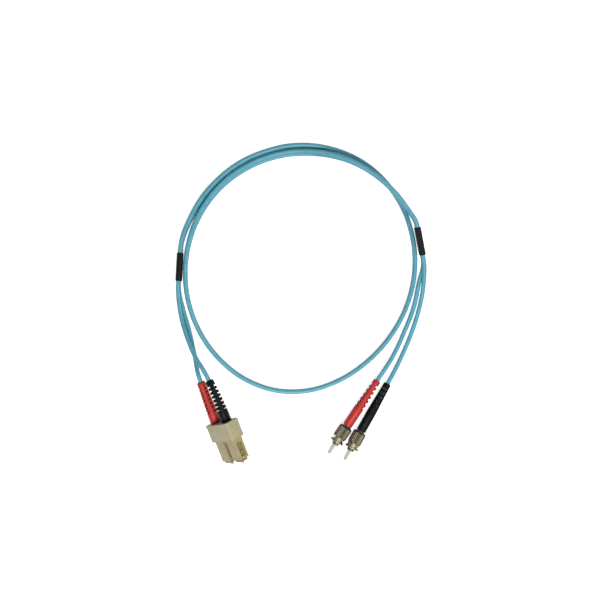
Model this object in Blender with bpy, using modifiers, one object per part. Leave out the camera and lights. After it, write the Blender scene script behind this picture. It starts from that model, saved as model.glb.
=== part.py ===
"""Duplex multimode patch cord: an SC duplex plug, a metre of twin-jacket zip cord and two ST plugs.

Every plug is an assembly: soft boot, crimp sleeve, metal or moulded body, spring, ferrule and shell.
The cord lies on a table in a loop of one and a half turns, standing on edge, as a flat cord does
when it is bent in a plane. Lengths are in metres, +Z is up, and each plug's own Z axis points out of
its ferrule.
"""

import math

import bmesh
import bpy
import numpy as np
from mathutils import Matrix, Vector

MM = 0.001

# Clearances
SEAT_GAP = 0.3 * MM  # between two faces that rest on each other
SLIDE_GAP = 0.3 * MM  # around a piece that slides or turns
BORE_GAP = 0.25 * MM  # around a cord or tube in its bore
PRESS_GAP = 0.15 * MM  # around a piece that is glued or pressed in
CUT_OVERRUN = 0.5 * MM  # how far a cutter runs past the face that it opens
JOIN_DEPTH = 0.2 * MM  # how far a joined piece is sunk into its carrier

# Cord
JACKET_DIAMETER = 3.0 * MM
JACKET_SPACING = 3.1 * MM  # centre to centre of the twin jackets
WEB_THICKNESS = 1.2 * MM
FIBRE_DIAMETER = 0.9 * MM  # buffered fibre, bare of its jacket inside a plug
LEG_STEP = 8.0 * MM
ZIP_STEP = 12.0 * MM
CROSSING_GAP = 0.65 * MM
FLOOR_GAP = 0.1 * MM
SELF_GAP_LEAST = 0.4 * MM

# Heat-shrink sleeve over each split
SLEEVE_LENGTH = 18.6 * MM
SLEEVE_WALL = 0.4 * MM
SLEEVE_ZIP_SHARE = 0.5  # share of the sleeve that holds the unsplit cord

# SC plug, along its axis from the back face of the duplex clip
SC_PITCH = 12.7 * MM
CLIP_LENGTH = 11.8 * MM
CLIP_WALL = 1.3 * MM
CLIP_BACK_WALL = 1.3 * MM
CLIP_EDGE_ROUND = 1.5 * MM
CLIP_RIM_LENGTH = 1.7 * MM
CLIP_RIM_HEIGHT = 0.25 * MM
HOUSING_WIDTH = 9.0 * MM
HOUSING_DEPTH = 7.4 * MM
HOUSING_LENGTH = 24.6 * MM
HOUSING_WALL = 0.75 * MM
HOUSING_EDGE_ROUND = 0.5 * MM
WINDOW_LENGTH = 9.3 * MM
WINDOW_WIDTH = 3.9 * MM
WINDOW_FRONT_WALL = 1.8 * MM
KEY_WIDTH = 2.2 * MM
KEY_HEIGHT = 0.8 * MM
KEY_LENGTH = 9.5 * MM
KEY_SETBACK = 1.2 * MM
SHELL_TRAVEL = 1.8 * MM
FRAME_LENGTH = 22.3 * MM
FRAME_PROUD = 1.6 * MM  # plug frame beyond the housing
FRAME_EDGE_ROUND = 0.4 * MM
FRAME_NOSE_WALL = 5.3 * MM  # solid nose ahead of the ferrule holder
LATCH_HEIGHT = 0.6 * MM
LATCH_WIDTH = 2.6 * MM
LATCH_BACK_LENGTH = 2.4 * MM
LATCH_FRONT_LENGTH = 1.7 * MM
SC_FERRULE_PROUD = 2.0 * MM  # ferrule tip beyond the plug frame
SC_FERRULE_LENGTH = 10.45 * MM
FERRULE_TRAVEL = 1.0 * MM
HOLDER_DISC_DIAMETER = 3.7 * MM
HOLDER_DISC_LENGTH = 3.4 * MM
HOLDER_TUBE_DIAMETER = 2.2 * MM
HOLDER_TUBE_LENGTH = 8.0 * MM
SC_SPRING_LENGTH = 5.6 * MM
SC_SPRING_WIRE = 0.4 * MM
SC_SPRING_TURNS = 5
STOP_RING_RIM_LENGTH = 1.2 * MM
STOP_RING_RIM_DIAMETER = 5.4 * MM
SC_POST_LENGTH = 9.0 * MM
SC_BOOT_TAIL = 28.8 * MM  # boot behind the clip
SC_BOOT_SMOOTH = 7.0 * MM  # unslotted boot behind the clip
SC_BOOT_BASE_DIAMETER = 6.6 * MM
SC_BOOT_SLOT_PITCH = 2.7 * MM

# Parts that the four plugs share
FERRULE_DIAMETER = 2.5 * MM
FERRULE_CHAMFER = 0.35 * MM
POST_DIAMETER = 3.1 * MM
CRIMP_WALL = 0.35 * MM
CRIMP_GRIP_LENGTH = 2.2 * MM  # crimp sleeve on the jacket
BOOT_TAIL_DIAMETER = 4.8 * MM
BOOT_TAIL_ROUND = 0.4 * MM
BOOT_COLLAR_WALL = 0.35 * MM
BOOT_TAIL_RING = 1.9 * MM  # least unslotted end of a boot
BOOT_SLOT_SHARE = 0.37  # length of a slot to the pitch of the slots
BOOT_SLOT_CLEARANCE = 0.2 * MM  # between the bore and the bridges beside a slot
BOOT_BRIDGE_WIDTH = 2.4 * MM  # two bridges cross each slot of a red boot
BOOT_HOLE_WIDTH = 1.6 * MM  # two slots cross at each step of a black boot

# ST plug, along its axis from the back face of its bayonet nut
NUT_LENGTH = 12.0 * MM
NUT_DIAMETER = 9.1 * MM
NUT_WALL = 0.6 * MM
NUT_BACK_WALL = 1.5 * MM
NUT_KNURL_START = 0.6 * MM
NUT_KNURL_LENGTH = 7.4 * MM
NUT_RIM_LENGTH = 1.1 * MM
NUT_RIM_HEIGHT = 0.45 * MM  # rim beyond the ring behind it
NUT_KNURL_DEPTH = 0.25 * MM
NUT_KNURL_COUNT = 26
NUT_TRAVEL = 2.2 * MM
CAM_WIDTH = 2.2 * MM
CAM_SWEEP = math.radians(-72)
CAM_ENTRY_DEPTH = 1.6 * MM  # rim to the middle of the cam's first turn
CAM_RISE = 1.6 * MM
CAM_SEAT_DIAMETER = 2.6 * MM
BARREL_DIAMETER = 5.0 * MM
BARREL_BACK = 1.7 * MM  # barrel behind the nut
BARREL_FLANGE_LENGTH = 1.1 * MM
BARREL_NOSE_DIAMETER = 5.2 * MM
BARREL_NOSE_PROUD = 1.8 * MM  # nose beyond the nut
BARREL_KEY_WIDTH = 1.2 * MM
BARREL_KEY_LENGTH = 1.9 * MM
WASHER_THICKNESS = 0.6 * MM
ST_SPRING_LENGTH = 4.9 * MM
ST_SPRING_WIRE = 0.5 * MM
ST_SPRING_TURNS = 4
RING_THICKNESS = 0.5 * MM
RING_GROOVE = 0.4 * MM  # depth of the ring's groove in the barrel
RING_PROUD = 0.9 * MM
RING_MOUTH = 2.6 * MM
ST_FERRULE_PROUD = 7.3 * MM  # ferrule tip beyond the barrel
ST_FERRULE_LENGTH = 14.7 * MM
ST_POST_LENGTH = 8.8 * MM
ST_BOOT_LENGTH = 35.8 * MM
ST_BOOT_SMOOTH = 13.7 * MM
ST_BOOT_BASE_DIAMETER = 6.4 * MM
ST_BOOT_SLOT_PITCH = 3.3 * MM

# How the pieces lie on the table, seen from above. The plugs' middle is at the part's origin.
ORIGIN = Vector((-3.54, -79.62, 0.0)) * MM
SC_PLACE = Vector((-51.4, -79.6, 14.5)) * MM
SC_HEADING = math.radians(21.1)
SC_PITCH_DOWN = math.radians(4.6)
SC_ROLL = math.radians(52.3)
SC_RED_BEND = math.radians(4.0)  # each boot leans towards its twin
SC_BLACK_BEND = math.radians(9.0)
ST_AXIS_HEIGHT = NUT_DIAMETER / 2 - NUT_KNURL_DEPTH + NUT_RIM_HEIGHT + FLOOR_GAP
PLUGS_APART = 82.1 * MM  # from the clip to the first bayonet nut, across the table
NUTS_APART = 9.2 * MM
ST_RED_PLACE = Vector((SC_PLACE.x + PLUGS_APART, -84.0 * MM, 0.0))
ST_RED_HEADING = math.radians(-33.8)
ST_BLACK_PLACE = Vector((ST_RED_PLACE.x + NUTS_APART, -87.5 * MM, 0.0))
ST_BLACK_HEADING = math.radians(-29.5)
# Turn of each boot's slots about its axis
SC_RED_SLOT_TURN = math.radians(-52)
SC_BLACK_SLOT_TURN = math.radians(-52)
ST_RED_SLOT_TURN = 0.0
ST_BLACK_SLOT_TURN = math.radians(45)
# Turn of each bayonet nut about its axis
ST_RED_CAM_TURN = math.radians(42)
ST_BLACK_CAM_TURN = math.radians(20)

# Route of the zip cord about the middle of its loop: angle in degrees, radius in millimetres, share of
# the height at which it crosses over itself, and lean of its upper jacket inwards in degrees.
# Open fault: the leans were meant outwards, and as they are, two passes cut into each other near 80 degrees.
LOOP_CENTRE = Vector((1.0, 19.7, 0.0)) * MM
ZIP_ROUTE = (
    (158, 81.4, 0.0, 8),
    (140, 81.2, 0.0, 22),
    (120, 81.5, 0.0, 30),
    (100, 82.0, 0.0, 30),
    (84, 82.4, 0.0, 26),
    (68, 82.3, 0.0, 16),
    (54, 81.6, 0.0, 6),
    (40, 80.0, 0.0, 0),
    (26, 78.1, 0.0, 0),
    (10, 76.1, 0.0, 0),
    (-6, 74.5, 0.0, 0),
    (-22, 73.6, 0.0, 0),
    (-38, 73.5, 0.0, 0),
    (-54, 74.7, 0.0, 0),
    (-70, 77.0, 0.0, 0),
    (-86, 79.8, 0.0, 0),
    (-102, 81.5, 0.0, 0),
    (-118, 81.4, 0.0, 0),
    (-134, 80.2, 0.0, 0),
    (-150, 78.9, 0.0, 0),
    (-166, 77.8, 0.0, 0),
    (-182, 77.0, 0.0, 0),
    (-198, 76.9, 0.0, 8),
    (-214, 77.2, 0.0, 20),
    (-230, 77.5, 0.0, 28),
    (-246, 77.7, 0.0, 30),
    (-260, 78.0, 0.05, 30),
    (-272, 78.2, 0.2, 30),
    (-284, 78.4, 0.6, 20),
    (-296, 78.7, 0.95, 8),
    (-308, 79.0, 1.0, 0),
    (-320, 79.7, 1.0, 0),
    (-331, 80.6, 0.93, 0),
)
# Each sleeve: middle, heading of its split end seen from above, slope down and middle's share of height
SC_SLEEVE_PLACE = Vector((-79.9, 21.9, 0.0)) * MM
SC_SLEEVE_HEADING = math.radians(-3.1)
SC_SLEEVE_SLOPE = 0.0
SC_SLEEVE_LIFT = 0.0
ST_SLEEVE_PLACE = Vector((79.0, 38.8, 0.0)) * MM
ST_SLEEVE_HEADING = math.radians(11.5)
ST_SLEEVE_SLOPE = math.radians(7.0)
ST_SLEEVE_LIFT = 0.62

# Route of each free leg from its sleeve to its boot, in millimetres on the table
SC_RED_ROUTE = ((-77.7, -6.6, 2.2), (-73.6, -19.9, 4.2), (-69.4, -36.9, 8.4))
SC_BLACK_ROUTE = ((-79.4, -6.6, 5.6), (-75.9, -19.8, 9.0), (-69.0, -35.9, 15.0))
ST_RED_ROUTE = (
    (78.6, 10.0, 3.6),
    (75.2, -6.0, 2.4),
    (68.8, -22.5, 2.0),
    (61.6, -37.6, 2.8),
)
ST_BLACK_ROUTE = (
    (81.7, 10.0, 5.6),
    (79.0, -6.0, 3.6),
    (73.7, -23.0, 2.4),
    (66.4, -39.8, 2.9),
)

# Facets of round pieces
ROUND_STEPS = 20
SMALL_STEPS = 16
CAM_STEPS = 9
BEND_RINGS = 5
CURL_POINTS = 8
JACKET_ARC_POINTS = 8
SLEEVE_ARC_POINTS = 7
LEG_RESOLUTION = 2
FIBRE_RESOLUTION = 1
SC_SPRING_RESOLUTION = 0
ST_SPRING_RESOLUTION = 1
SMOOTH_ANGLE = math.radians(35)

ZIP_HEIGHT = JACKET_SPACING + JACKET_DIAMETER
CROSSING_LIFT = ZIP_HEIGHT + CROSSING_GAP
JACKET_RADIUS = JACKET_DIAMETER / 2
FIBRE_RADIUS = FIBRE_DIAMETER / 2
FERRULE_RADIUS = FERRULE_DIAMETER / 2
FERRULE_SEAT_RADIUS = FERRULE_RADIUS + PRESS_GAP
FIBRE_BORE_RADIUS = FIBRE_RADIUS + BORE_GAP
POST_RADIUS = POST_DIAMETER / 2
CRIMP_FRONT_BORE = POST_RADIUS + SEAT_GAP
CRIMP_FRONT_RADIUS = CRIMP_FRONT_BORE + CRIMP_WALL
CRIMP_BACK_BORE = JACKET_RADIUS + BORE_GAP
CRIMP_BACK_RADIUS = CRIMP_BACK_BORE + CRIMP_WALL
BOOT_FRONT_BORE = max(CRIMP_FRONT_RADIUS, CRIMP_BACK_RADIUS) + BORE_GAP
BOOT_TAIL_BORE = JACKET_RADIUS + BORE_GAP
BOOT_TAIL_RADIUS = BOOT_TAIL_DIAMETER / 2


def clear_scene():
    for obj in list(bpy.data.objects):
        bpy.data.objects.remove(obj, do_unlink=True)


def make_collection(name):
    collection = bpy.data.collections.new(name)
    bpy.context.scene.collection.children.link(collection)
    return collection


def make_material(name, colour, roughness, metallic=0.0):
    material = bpy.data.materials.new(name)
    material.use_nodes = True
    shader = material.node_tree.nodes["Principled BSDF"]
    shader.inputs["Base Color"].default_value = (*colour, 1.0)
    shader.inputs["Roughness"].default_value = roughness
    shader.inputs["Metallic"].default_value = metallic
    return material


clear_scene()
PARTS = make_collection("fiber_optic_patch_cord")
CUTTERS = make_collection("cutters")
CUTTERS.hide_render = True

AQUA_JACKET = make_material("aqua_jacket", (0.11, 0.40, 0.54), 0.45)
BLACK_SLEEVE = make_material("black_heat_shrink", (0.006, 0.007, 0.009), 0.5)
RED_BOOT = make_material("red_boot", (0.55, 0.045, 0.04), 0.5)
BLACK_BOOT = make_material("black_boot", (0.005, 0.006, 0.008), 0.5)
BEIGE_SHELL = make_material("beige_shell", (0.38, 0.35, 0.19), 0.45)
BEIGE_CLIP = make_material("beige_clip", (0.38, 0.36, 0.20), 0.45)
OLIVE_FRAME = make_material("plug_frame_plastic", (0.30, 0.26, 0.10), 0.45)
NICKEL = make_material("nickel_plate", (0.62, 0.56, 0.44), 0.3, 1.0)
STEEL = make_material("spring_steel", (0.55, 0.55, 0.56), 0.35, 1.0)
CERAMIC = make_material("zirconia", (0.86, 0.85, 0.82), 0.25)
BUFFER = make_material("fibre_buffer", (0.80, 0.82, 0.80), 0.4)


def add_part(name, data, parent, material):
    """A named sub-part in the frame of its parent."""
    obj = bpy.data.objects.new(name, data)
    data.materials.clear()
    data.materials.append(material)
    PARTS.objects.link(obj)
    obj.parent = parent
    return obj


def add_cutter(name, mesh, parent):
    obj = bpy.data.objects.new(name, mesh)
    CUTTERS.objects.link(obj)
    obj.parent = parent
    obj.hide_render = True
    obj.display_type = "WIRE"
    return obj


def combine(obj, other, operation):
    modifier = obj.modifiers.new(other.name, "BOOLEAN")
    modifier.operation = operation
    modifier.object = other
    modifier.solver = "EXACT"


def cut(obj, other):
    combine(obj, other, "DIFFERENCE")


def join(obj, other):
    combine(obj, other, "UNION")


def add_empty(name, matrix, parent):
    empty = bpy.data.objects.new(name, None)
    PARTS.objects.link(empty)
    empty.parent = parent
    empty.matrix_local = matrix
    return empty


def mesh_from(bm, name):
    mesh = bpy.data.meshes.new(name)
    bm.to_mesh(mesh)
    bm.free()
    return mesh


def box_mesh(name, low, high):
    """A box between two corners."""
    bm = bmesh.new()
    low, high = Vector(low), Vector(high)
    matrix = Matrix.Translation((low + high) / 2) @ Matrix.Diagonal((*(high - low), 1.0))
    bmesh.ops.create_cube(bm, size=1.0, matrix=matrix)
    return mesh_from(bm, name)


def rod_mesh(name, radius, back, front, matrix=None):
    """A round rod along Z between two heights."""
    bm = bmesh.new()
    middle = Matrix.Translation((0.0, 0.0, (back + front) / 2))
    bmesh.ops.create_cone(
        bm,
        cap_ends=True,
        segments=ROUND_STEPS,
        radius1=radius,
        radius2=radius,
        depth=front - back,
        matrix=(matrix or Matrix()) @ middle,
    )
    return mesh_from(bm, name)


def turned_mesh(name, outline):
    """A mesh of the edges of a closed outline of (radius, height), to be turned about Z."""
    mesh = bpy.data.meshes.new(name)
    points = [(radius, 0.0, height) for radius, height in outline]
    edges = [(i, (i + 1) % len(points)) for i in range(len(points))]
    if outline[0][0] == 0.0 and outline[-1][0] == 0.0:
        edges.pop()
    mesh.from_pydata(points, edges, [])
    return mesh


def turn(obj, steps):
    screw = obj.modifiers.new("turn", "SCREW")
    screw.axis = "Z"
    screw.steps = steps
    screw.render_steps = steps
    screw.use_merge_vertices = True
    screw.merge_threshold = 1e-6
    screw.use_smooth_shade = True


def turned_part(name, outline, parent, material, steps=ROUND_STEPS):
    obj = add_part(name, turned_mesh(name, outline), parent, material)
    turn(obj, steps)
    return obj


def turned_cutter(name, outline, parent, steps=ROUND_STEPS):
    obj = add_cutter(name, turned_mesh(name, outline), parent)
    turn(obj, steps)
    return obj


def round_edges(obj, width, segments=2):
    """Rounds the four long edges of a box along Z."""
    mesh = obj.data
    weights = mesh.attributes.new("bevel_weight_edge", "FLOAT", "EDGE")
    for edge in mesh.edges:
        start, end = (mesh.vertices[i].co for i in edge.vertices)
        along = (end - start).normalized()
        weights.data[edge.index].value = 1.0 if abs(along.z) > 0.99 else 0.0
    bevel = obj.modifiers.new("round_edges", "BEVEL")
    bevel.width = width
    bevel.segments = segments
    bevel.limit_method = "WEIGHT"


def baked_mesh(obj):
    """The object's mesh after its modifiers, with curve caps welded."""
    bpy.context.view_layer.update()
    graph = bpy.context.evaluated_depsgraph_get()
    mesh = bpy.data.meshes.new_from_object(obj.evaluated_get(graph))
    bm = bmesh.new()
    bm.from_mesh(mesh)
    bmesh.ops.remove_doubles(bm, verts=bm.verts, dist=1e-7)
    bmesh.ops.recalc_face_normals(bm, faces=bm.faces)
    bm.to_mesh(mesh)
    bm.free()
    return mesh


def spline_curve(name, points, dimensions="3D", cyclic=False):
    """A curve of one straight-sided spline."""
    curve = bpy.data.curves.new(name, "CURVE")
    curve.dimensions = dimensions
    add_spline(curve, points, cyclic)
    return curve


def add_spline(curve, points, cyclic):
    spline = curve.splines.new("POLY")
    spline.points.add(len(points) - 1)
    for target, point in zip(spline.points, points):
        target.co = (*point, 1.0) if len(point) == 3 else (*point, 0.0, 1.0)
    spline.use_cyclic_u = cyclic


def tube_curve(name, points, radius, resolution):
    curve = spline_curve(name, points)
    curve.bevel_depth = radius
    curve.bevel_resolution = resolution
    curve.use_fill_caps = True
    return curve


def arc(centre, radius, start, end, count):
    """Points of an arc in a plane, both ends included."""
    angles = [start + (end - start) * i / (count - 1) for i in range(count)]
    return [
        (centre[0] + radius * math.cos(a), centre[1] + radius * math.sin(a)) for a in angles
    ]


def oblong(radius, spacing, count):
    """An outline of two half circles about centres that lie a spacing apart along Y."""
    upper = arc((0.0, spacing / 2), radius, 0.0, math.pi, count)
    lower = arc((0.0, -spacing / 2), radius, math.pi, 2 * math.pi, count)
    return upper + lower


def mesh_of_curve(name, curve):
    """A mesh of a curve's solid. The curve itself isn't kept."""
    guide = bpy.data.objects.new(name, curve)
    CUTTERS.objects.link(guide)
    mesh = baked_mesh(guide)
    bpy.data.objects.remove(guide)
    return mesh


def swept_mesh(name, points, tilts, section):
    """A section swept along points, with its Y axis up and turned by a tilt at each point."""
    outline = bpy.data.objects.new(name, spline_curve(name, section, "2D", cyclic=True))
    outline.data.fill_mode = "NONE"
    CUTTERS.objects.link(outline)
    curve = spline_curve(name, points)
    curve.twist_mode = "Z_UP"
    curve.bevel_mode = "OBJECT"
    curve.bevel_object = outline
    curve.use_fill_caps = True
    for target, tilt in zip(curve.splines[0].points, tilts):
        target.tilt = tilt
    mesh = mesh_of_curve(name, curve)
    bpy.data.objects.remove(outline)
    return mesh


def smooth_path(points, step, start_direction, end_direction):
    """Points read from a smooth curve through a route. Values after the third ride along."""
    keys = np.array(points, float)
    chords = np.linalg.norm(np.diff(keys[:, :3], axis=0), axis=1)
    knots = np.concatenate([[0.0], np.cumsum(chords)])
    slopes = np.zeros_like(keys)
    slopes[1:-1] = (keys[2:] - keys[:-2]) / (knots[2:] - knots[:-2])[:, None]
    slopes[0, :3] = start_direction
    slopes[-1, :3] = end_direction
    path = [keys[0]]
    for i, chord in enumerate(chords):
        count = max(1, math.ceil(chord / step))
        for j in range(1, count + 1):
            t = j / count
            path.append(
                keys[i] * (1 + 2 * t) * (1 - t) ** 2
                + slopes[i] * chord * t * (1 - t) ** 2
                + keys[i + 1] * t * t * (3 - 2 * t)
                + slopes[i + 1] * chord * t * t * (t - 1)
            )
    return np.array(path)


def path_length(path):
    return float(np.linalg.norm(np.diff(np.array(path)[:, :3], axis=0), axis=1).sum())


def plug_matrix(place, heading, pitch_down=0.0, roll=0.0):
    """A frame whose Z axis leads out of a plug, whose Y axis is up and whose X axis lies across it."""
    forward = Vector(
        (
            math.sin(heading) * math.cos(pitch_down),
            -math.cos(heading) * math.cos(pitch_down),
            -math.sin(pitch_down),
        )
    )
    side = Vector((math.cos(heading), math.sin(heading), 0.0))
    upright = forward.cross(side)
    across = math.cos(roll) * side + math.sin(roll) * upright
    face = math.cos(roll) * upright - math.sin(roll) * side
    return Matrix.Translation(place) @ Matrix((across, face, forward)).transposed().to_4x4()


# Boots, crimps, ferrules and springs, which SC and ST plugs share


def bent_axis(distance, length, bend):
    """Offset towards +X, travel and turn of an axis that bends evenly over a length."""
    distance = max(distance, 0.0)
    if abs(bend) < 1e-6:
        return 0.0, distance, 0.0
    turn_here = bend * min(distance, length) / length
    radius = length / bend
    beyond = max(distance - length, 0.0)
    offset = radius * (1 - math.cos(turn_here)) + beyond * math.sin(turn_here)
    travel = radius * math.sin(turn_here) + beyond * math.cos(turn_here)
    return offset, travel, turn_here


def bend_tail(mesh, start, length, bend):
    """Bends what lies behind a height towards +X."""
    for vertex in mesh.vertices:
        x, y, z = vertex.co
        if z < start:
            offset, travel, turned = bent_axis(start - z, length, bend)
            vertex.co = (
                offset + x * math.cos(turned),
                y,
                start - travel + x * math.sin(turned),
            )


def spread(start, end, count):
    """Evenly spaced values from start to end, both included."""
    return [start + (end - start) * i / count for i in range(count + 1)]


def boot_radius(height, base_radius, taper_start, tail):
    share = (taper_start - height) / (taper_start - tail)
    share = min(max(share, 0.0), 1.0)
    return base_radius + (BOOT_TAIL_RADIUS - base_radius) * share


def slot_places(boot):
    """The middle of each of a boot's slots, the radius to cut past there, and a slot's length."""
    tail, start, pitch = boot["tail"], boot["taper_start"], boot["slot_pitch"]
    for i in range(int((start - tail - BOOT_TAIL_RING) / pitch)):
        middle = start - pitch * (i + 0.5)
        reach = boot_radius(middle, boot["base_radius"], start, tail) + CUT_OVERRUN
        place = Matrix.Rotation(boot["slot_turn"], 4, "Z") @ Matrix.Translation((0, 0, middle))
        yield place, reach, BOOT_SLOT_SHARE * pitch


def add_block(bm, matrix, size):
    bmesh.ops.create_cube(bm, size=1.0, matrix=matrix @ Matrix.Diagonal((*size, 1.0)))


def bridged_slots(boot):
    """Cutters for slots open to both sides, with a bridge above and below the cord."""
    half_height = BOOT_TAIL_BORE + BOOT_SLOT_CLEARANCE
    half_bridge = BOOT_BRIDGE_WIDTH / 2
    through, sides = bmesh.new(), bmesh.new()
    for place, reach, length in slot_places(boot):
        add_block(through, place, (2 * reach, 2 * half_height, length))
        for side in (-1, 1):
            offset = Matrix.Translation((side * (reach + half_bridge) / 2, 0.0, 0.0))
            add_block(sides, place @ offset, (reach - half_bridge, 2 * reach, length))
    yield "_slots", mesh_from(through, "slots")
    yield "_bridge_sides", mesh_from(sides, "bridge_sides")


def crossed_slots(boot):
    """Cutters for two narrow slots that cross at right angles, so that four posts are left."""
    for suffix, quarter in (("_slots", 0.0), ("_cross_slots", math.pi / 2)):
        bm = bmesh.new()
        for place, reach, length in slot_places(boot):
            turned = place @ Matrix.Rotation(quarter, 4, "Z")
            add_block(bm, turned, (2 * reach, BOOT_HOLE_WIDTH, length))
        yield suffix, mesh_from(bm, "slots")


def make_boot(name, parent, material, boot):
    """A tapered soft tube over the crimp sleeve, slotted right through behind its smooth base."""
    tail, step, start = boot["tail"], boot["bore_step"], boot["taper_start"]
    rings = BEND_RINGS if boot["bend"] else 1
    outline = list(boot["front_outline"])
    for height in spread(start, tail + BOOT_TAIL_ROUND, rings):
        outline.append((boot_radius(height, boot["base_radius"], start, tail), height))
    outline.append((BOOT_TAIL_RADIUS - BOOT_TAIL_ROUND / 2, tail))
    outline += [(BOOT_TAIL_BORE, height) for height in spread(tail, step, rings)]
    outline.append((BOOT_FRONT_BORE, step))
    outline += boot["bore_outline"]
    obj = turned_part(name, outline, parent, material, SMALL_STEPS)
    for suffix, mesh in boot["slots"](boot):
        cut(obj, add_cutter(name + suffix, mesh, parent))
    if boot["bend"]:
        mesh = baked_mesh(obj)
        obj.modifiers.clear()
        obj.data = mesh
        bend_tail(mesh, boot["bend_start"], boot["bend_start"] - tail, boot["bend"])
    return obj


def make_crimp_sleeve(name, parent, front, step, back):
    outline = [
        (CRIMP_FRONT_RADIUS, front),
        (CRIMP_FRONT_RADIUS, step),
        (CRIMP_BACK_RADIUS, step - CRIMP_WALL),
        (CRIMP_BACK_RADIUS, back),
        (CRIMP_BACK_BORE, back),
        (CRIMP_BACK_BORE, step - CRIMP_WALL),
        (CRIMP_FRONT_BORE, step),
        (CRIMP_FRONT_BORE, front),
    ]
    return turned_part(name, outline, parent, NICKEL, SMALL_STEPS)


def make_ferrule(name, parent, back, tip):
    outline = [
        (0.0, tip),
        (FERRULE_RADIUS - FERRULE_CHAMFER, tip),
        (FERRULE_RADIUS, tip - FERRULE_CHAMFER),
        (FERRULE_RADIUS, back),
        (0.0, back),
    ]
    return turned_part(name, outline, parent, CERAMIC, SMALL_STEPS)


def make_fibre(name, parent, back, front):
    points = [(0.0, 0.0, back), (0.0, 0.0, front)]
    curve = tube_curve(name, points, FIBRE_RADIUS, FIBRE_RESOLUTION)
    return add_part(name, curve, parent, BUFFER)


def make_spring(name, parent, back, front, coil_radius, wire, turns, resolution):
    """A helix whose wire stays between two heights."""
    low, high = back + wire / 2, front - wire / 2
    count = turns * CURL_POINTS
    points = []
    for i in range(count + 1):
        angle = 2 * math.pi * i / CURL_POINTS
        height = low + (high - low) * i / count
        points.append((coil_radius * math.cos(angle), coil_radius * math.sin(angle), height))
    curve = tube_curve(name, points, wire / 2, resolution)
    return add_part(name, curve, parent, STEEL)


# SC duplex plug

HOUSING_BACK = CLIP_BACK_WALL + SEAT_GAP
HOUSING_FRONT = HOUSING_BACK + HOUSING_LENGTH
WINDOW_FRONT = HOUSING_FRONT - WINDOW_FRONT_WALL
WINDOW_BACK = WINDOW_FRONT - WINDOW_LENGTH
FRAME_FRONT = HOUSING_FRONT + FRAME_PROUD
FRAME_BACK = FRAME_FRONT - FRAME_LENGTH
FRAME_WIDTH = HOUSING_WIDTH - 2 * (HOUSING_WALL + SLIDE_GAP)
FRAME_DEPTH = HOUSING_DEPTH - 2 * (HOUSING_WALL + SLIDE_GAP)
HOLDER_FRONT = FRAME_FRONT - FRAME_NOSE_WALL - SEAT_GAP
HOLDER_DISC_BACK = HOLDER_FRONT - HOLDER_DISC_LENGTH
HOLDER_BACK = HOLDER_DISC_BACK - HOLDER_TUBE_LENGTH
HOLDER_TUBE_RADIUS = HOLDER_TUBE_DIAMETER / 2
HOLDER_DISC_RADIUS = HOLDER_DISC_DIAMETER / 2
FRAME_BORE_RADIUS = HOLDER_DISC_RADIUS + SLIDE_GAP
SC_TIP = FRAME_FRONT + SC_FERRULE_PROUD
SC_FERRULE_BACK = SC_TIP - SC_FERRULE_LENGTH
SC_SPRING_FRONT = HOLDER_DISC_BACK - SEAT_GAP
SC_SPRING_BACK = SC_SPRING_FRONT - SC_SPRING_LENGTH
STOP_RING_FRONT = SC_SPRING_BACK - SEAT_GAP
STOP_RING_RIM_FRONT = FRAME_BACK - SEAT_GAP
STOP_RING_RIM_BACK = STOP_RING_RIM_FRONT - STOP_RING_RIM_LENGTH
SC_POST_BACK = STOP_RING_RIM_BACK - SC_POST_LENGTH
SC_JACKET_END = SC_POST_BACK - SEAT_GAP
SC_FIBRE_BACK = SC_POST_BACK + FERRULE_TRAVEL
SC_CRIMP_STEP = SC_JACKET_END
SC_CRIMP_BACK = SC_CRIMP_STEP - CRIMP_GRIP_LENGTH
SC_BOOT_FRONT = STOP_RING_RIM_BACK - SEAT_GAP
SC_BOOT_SHOULDER = HOUSING_BACK - SHELL_TRAVEL - SEAT_GAP
SC_BOOT_BASE_RADIUS = SC_BOOT_BASE_DIAMETER / 2


def make_clip(plug):
    """A moulded sleeve that holds both housings side by side, closed at the back around the boots."""
    half_width = SC_PITCH / 2 + HOUSING_WIDTH / 2 + SEAT_GAP + CLIP_WALL
    half_depth = HOUSING_DEPTH / 2 + SEAT_GAP + CLIP_WALL
    clip_box = box_mesh(
        "sc_duplex_clip", (-half_width, -half_depth, 0.0), (half_width, half_depth, CLIP_LENGTH)
    )
    clip = add_part("sc_duplex_clip", clip_box, plug, BEIGE_CLIP)
    round_edges(clip, CLIP_EDGE_ROUND)
    rim_width, rim_depth = half_width + CLIP_RIM_HEIGHT, half_depth + CLIP_RIM_HEIGHT
    rim_box = box_mesh(
        "clip_rim",
        (-rim_width, -rim_depth, JOIN_DEPTH),
        (rim_width, rim_depth, CLIP_RIM_LENGTH),
    )
    rim = add_cutter("clip_rim", rim_box, plug)
    round_edges(rim, CLIP_EDGE_ROUND + CLIP_RIM_HEIGHT)
    join(clip, rim)
    for side in (-1, 1):
        middle = side * SC_PITCH / 2
        pocket_width = HOUSING_WIDTH / 2 + SEAT_GAP
        pocket_depth = HOUSING_DEPTH / 2 + SEAT_GAP
        pocket = box_mesh(
            "clip_pocket",
            (middle - pocket_width, -pocket_depth, CLIP_BACK_WALL),
            (middle + pocket_width, pocket_depth, CLIP_LENGTH + CUT_OVERRUN),
        )
        cut(clip, add_cutter("clip_pocket", pocket, plug))
        hole = rod_mesh(
            "clip_boot_hole",
            SC_BOOT_BASE_RADIUS + SLIDE_GAP,
            -CUT_OVERRUN,
            CLIP_BACK_WALL + CUT_OVERRUN,
            Matrix.Translation((middle, 0.0, 0.0)),
        )
        cut(clip, add_cutter("clip_boot_hole", hole, plug))


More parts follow.
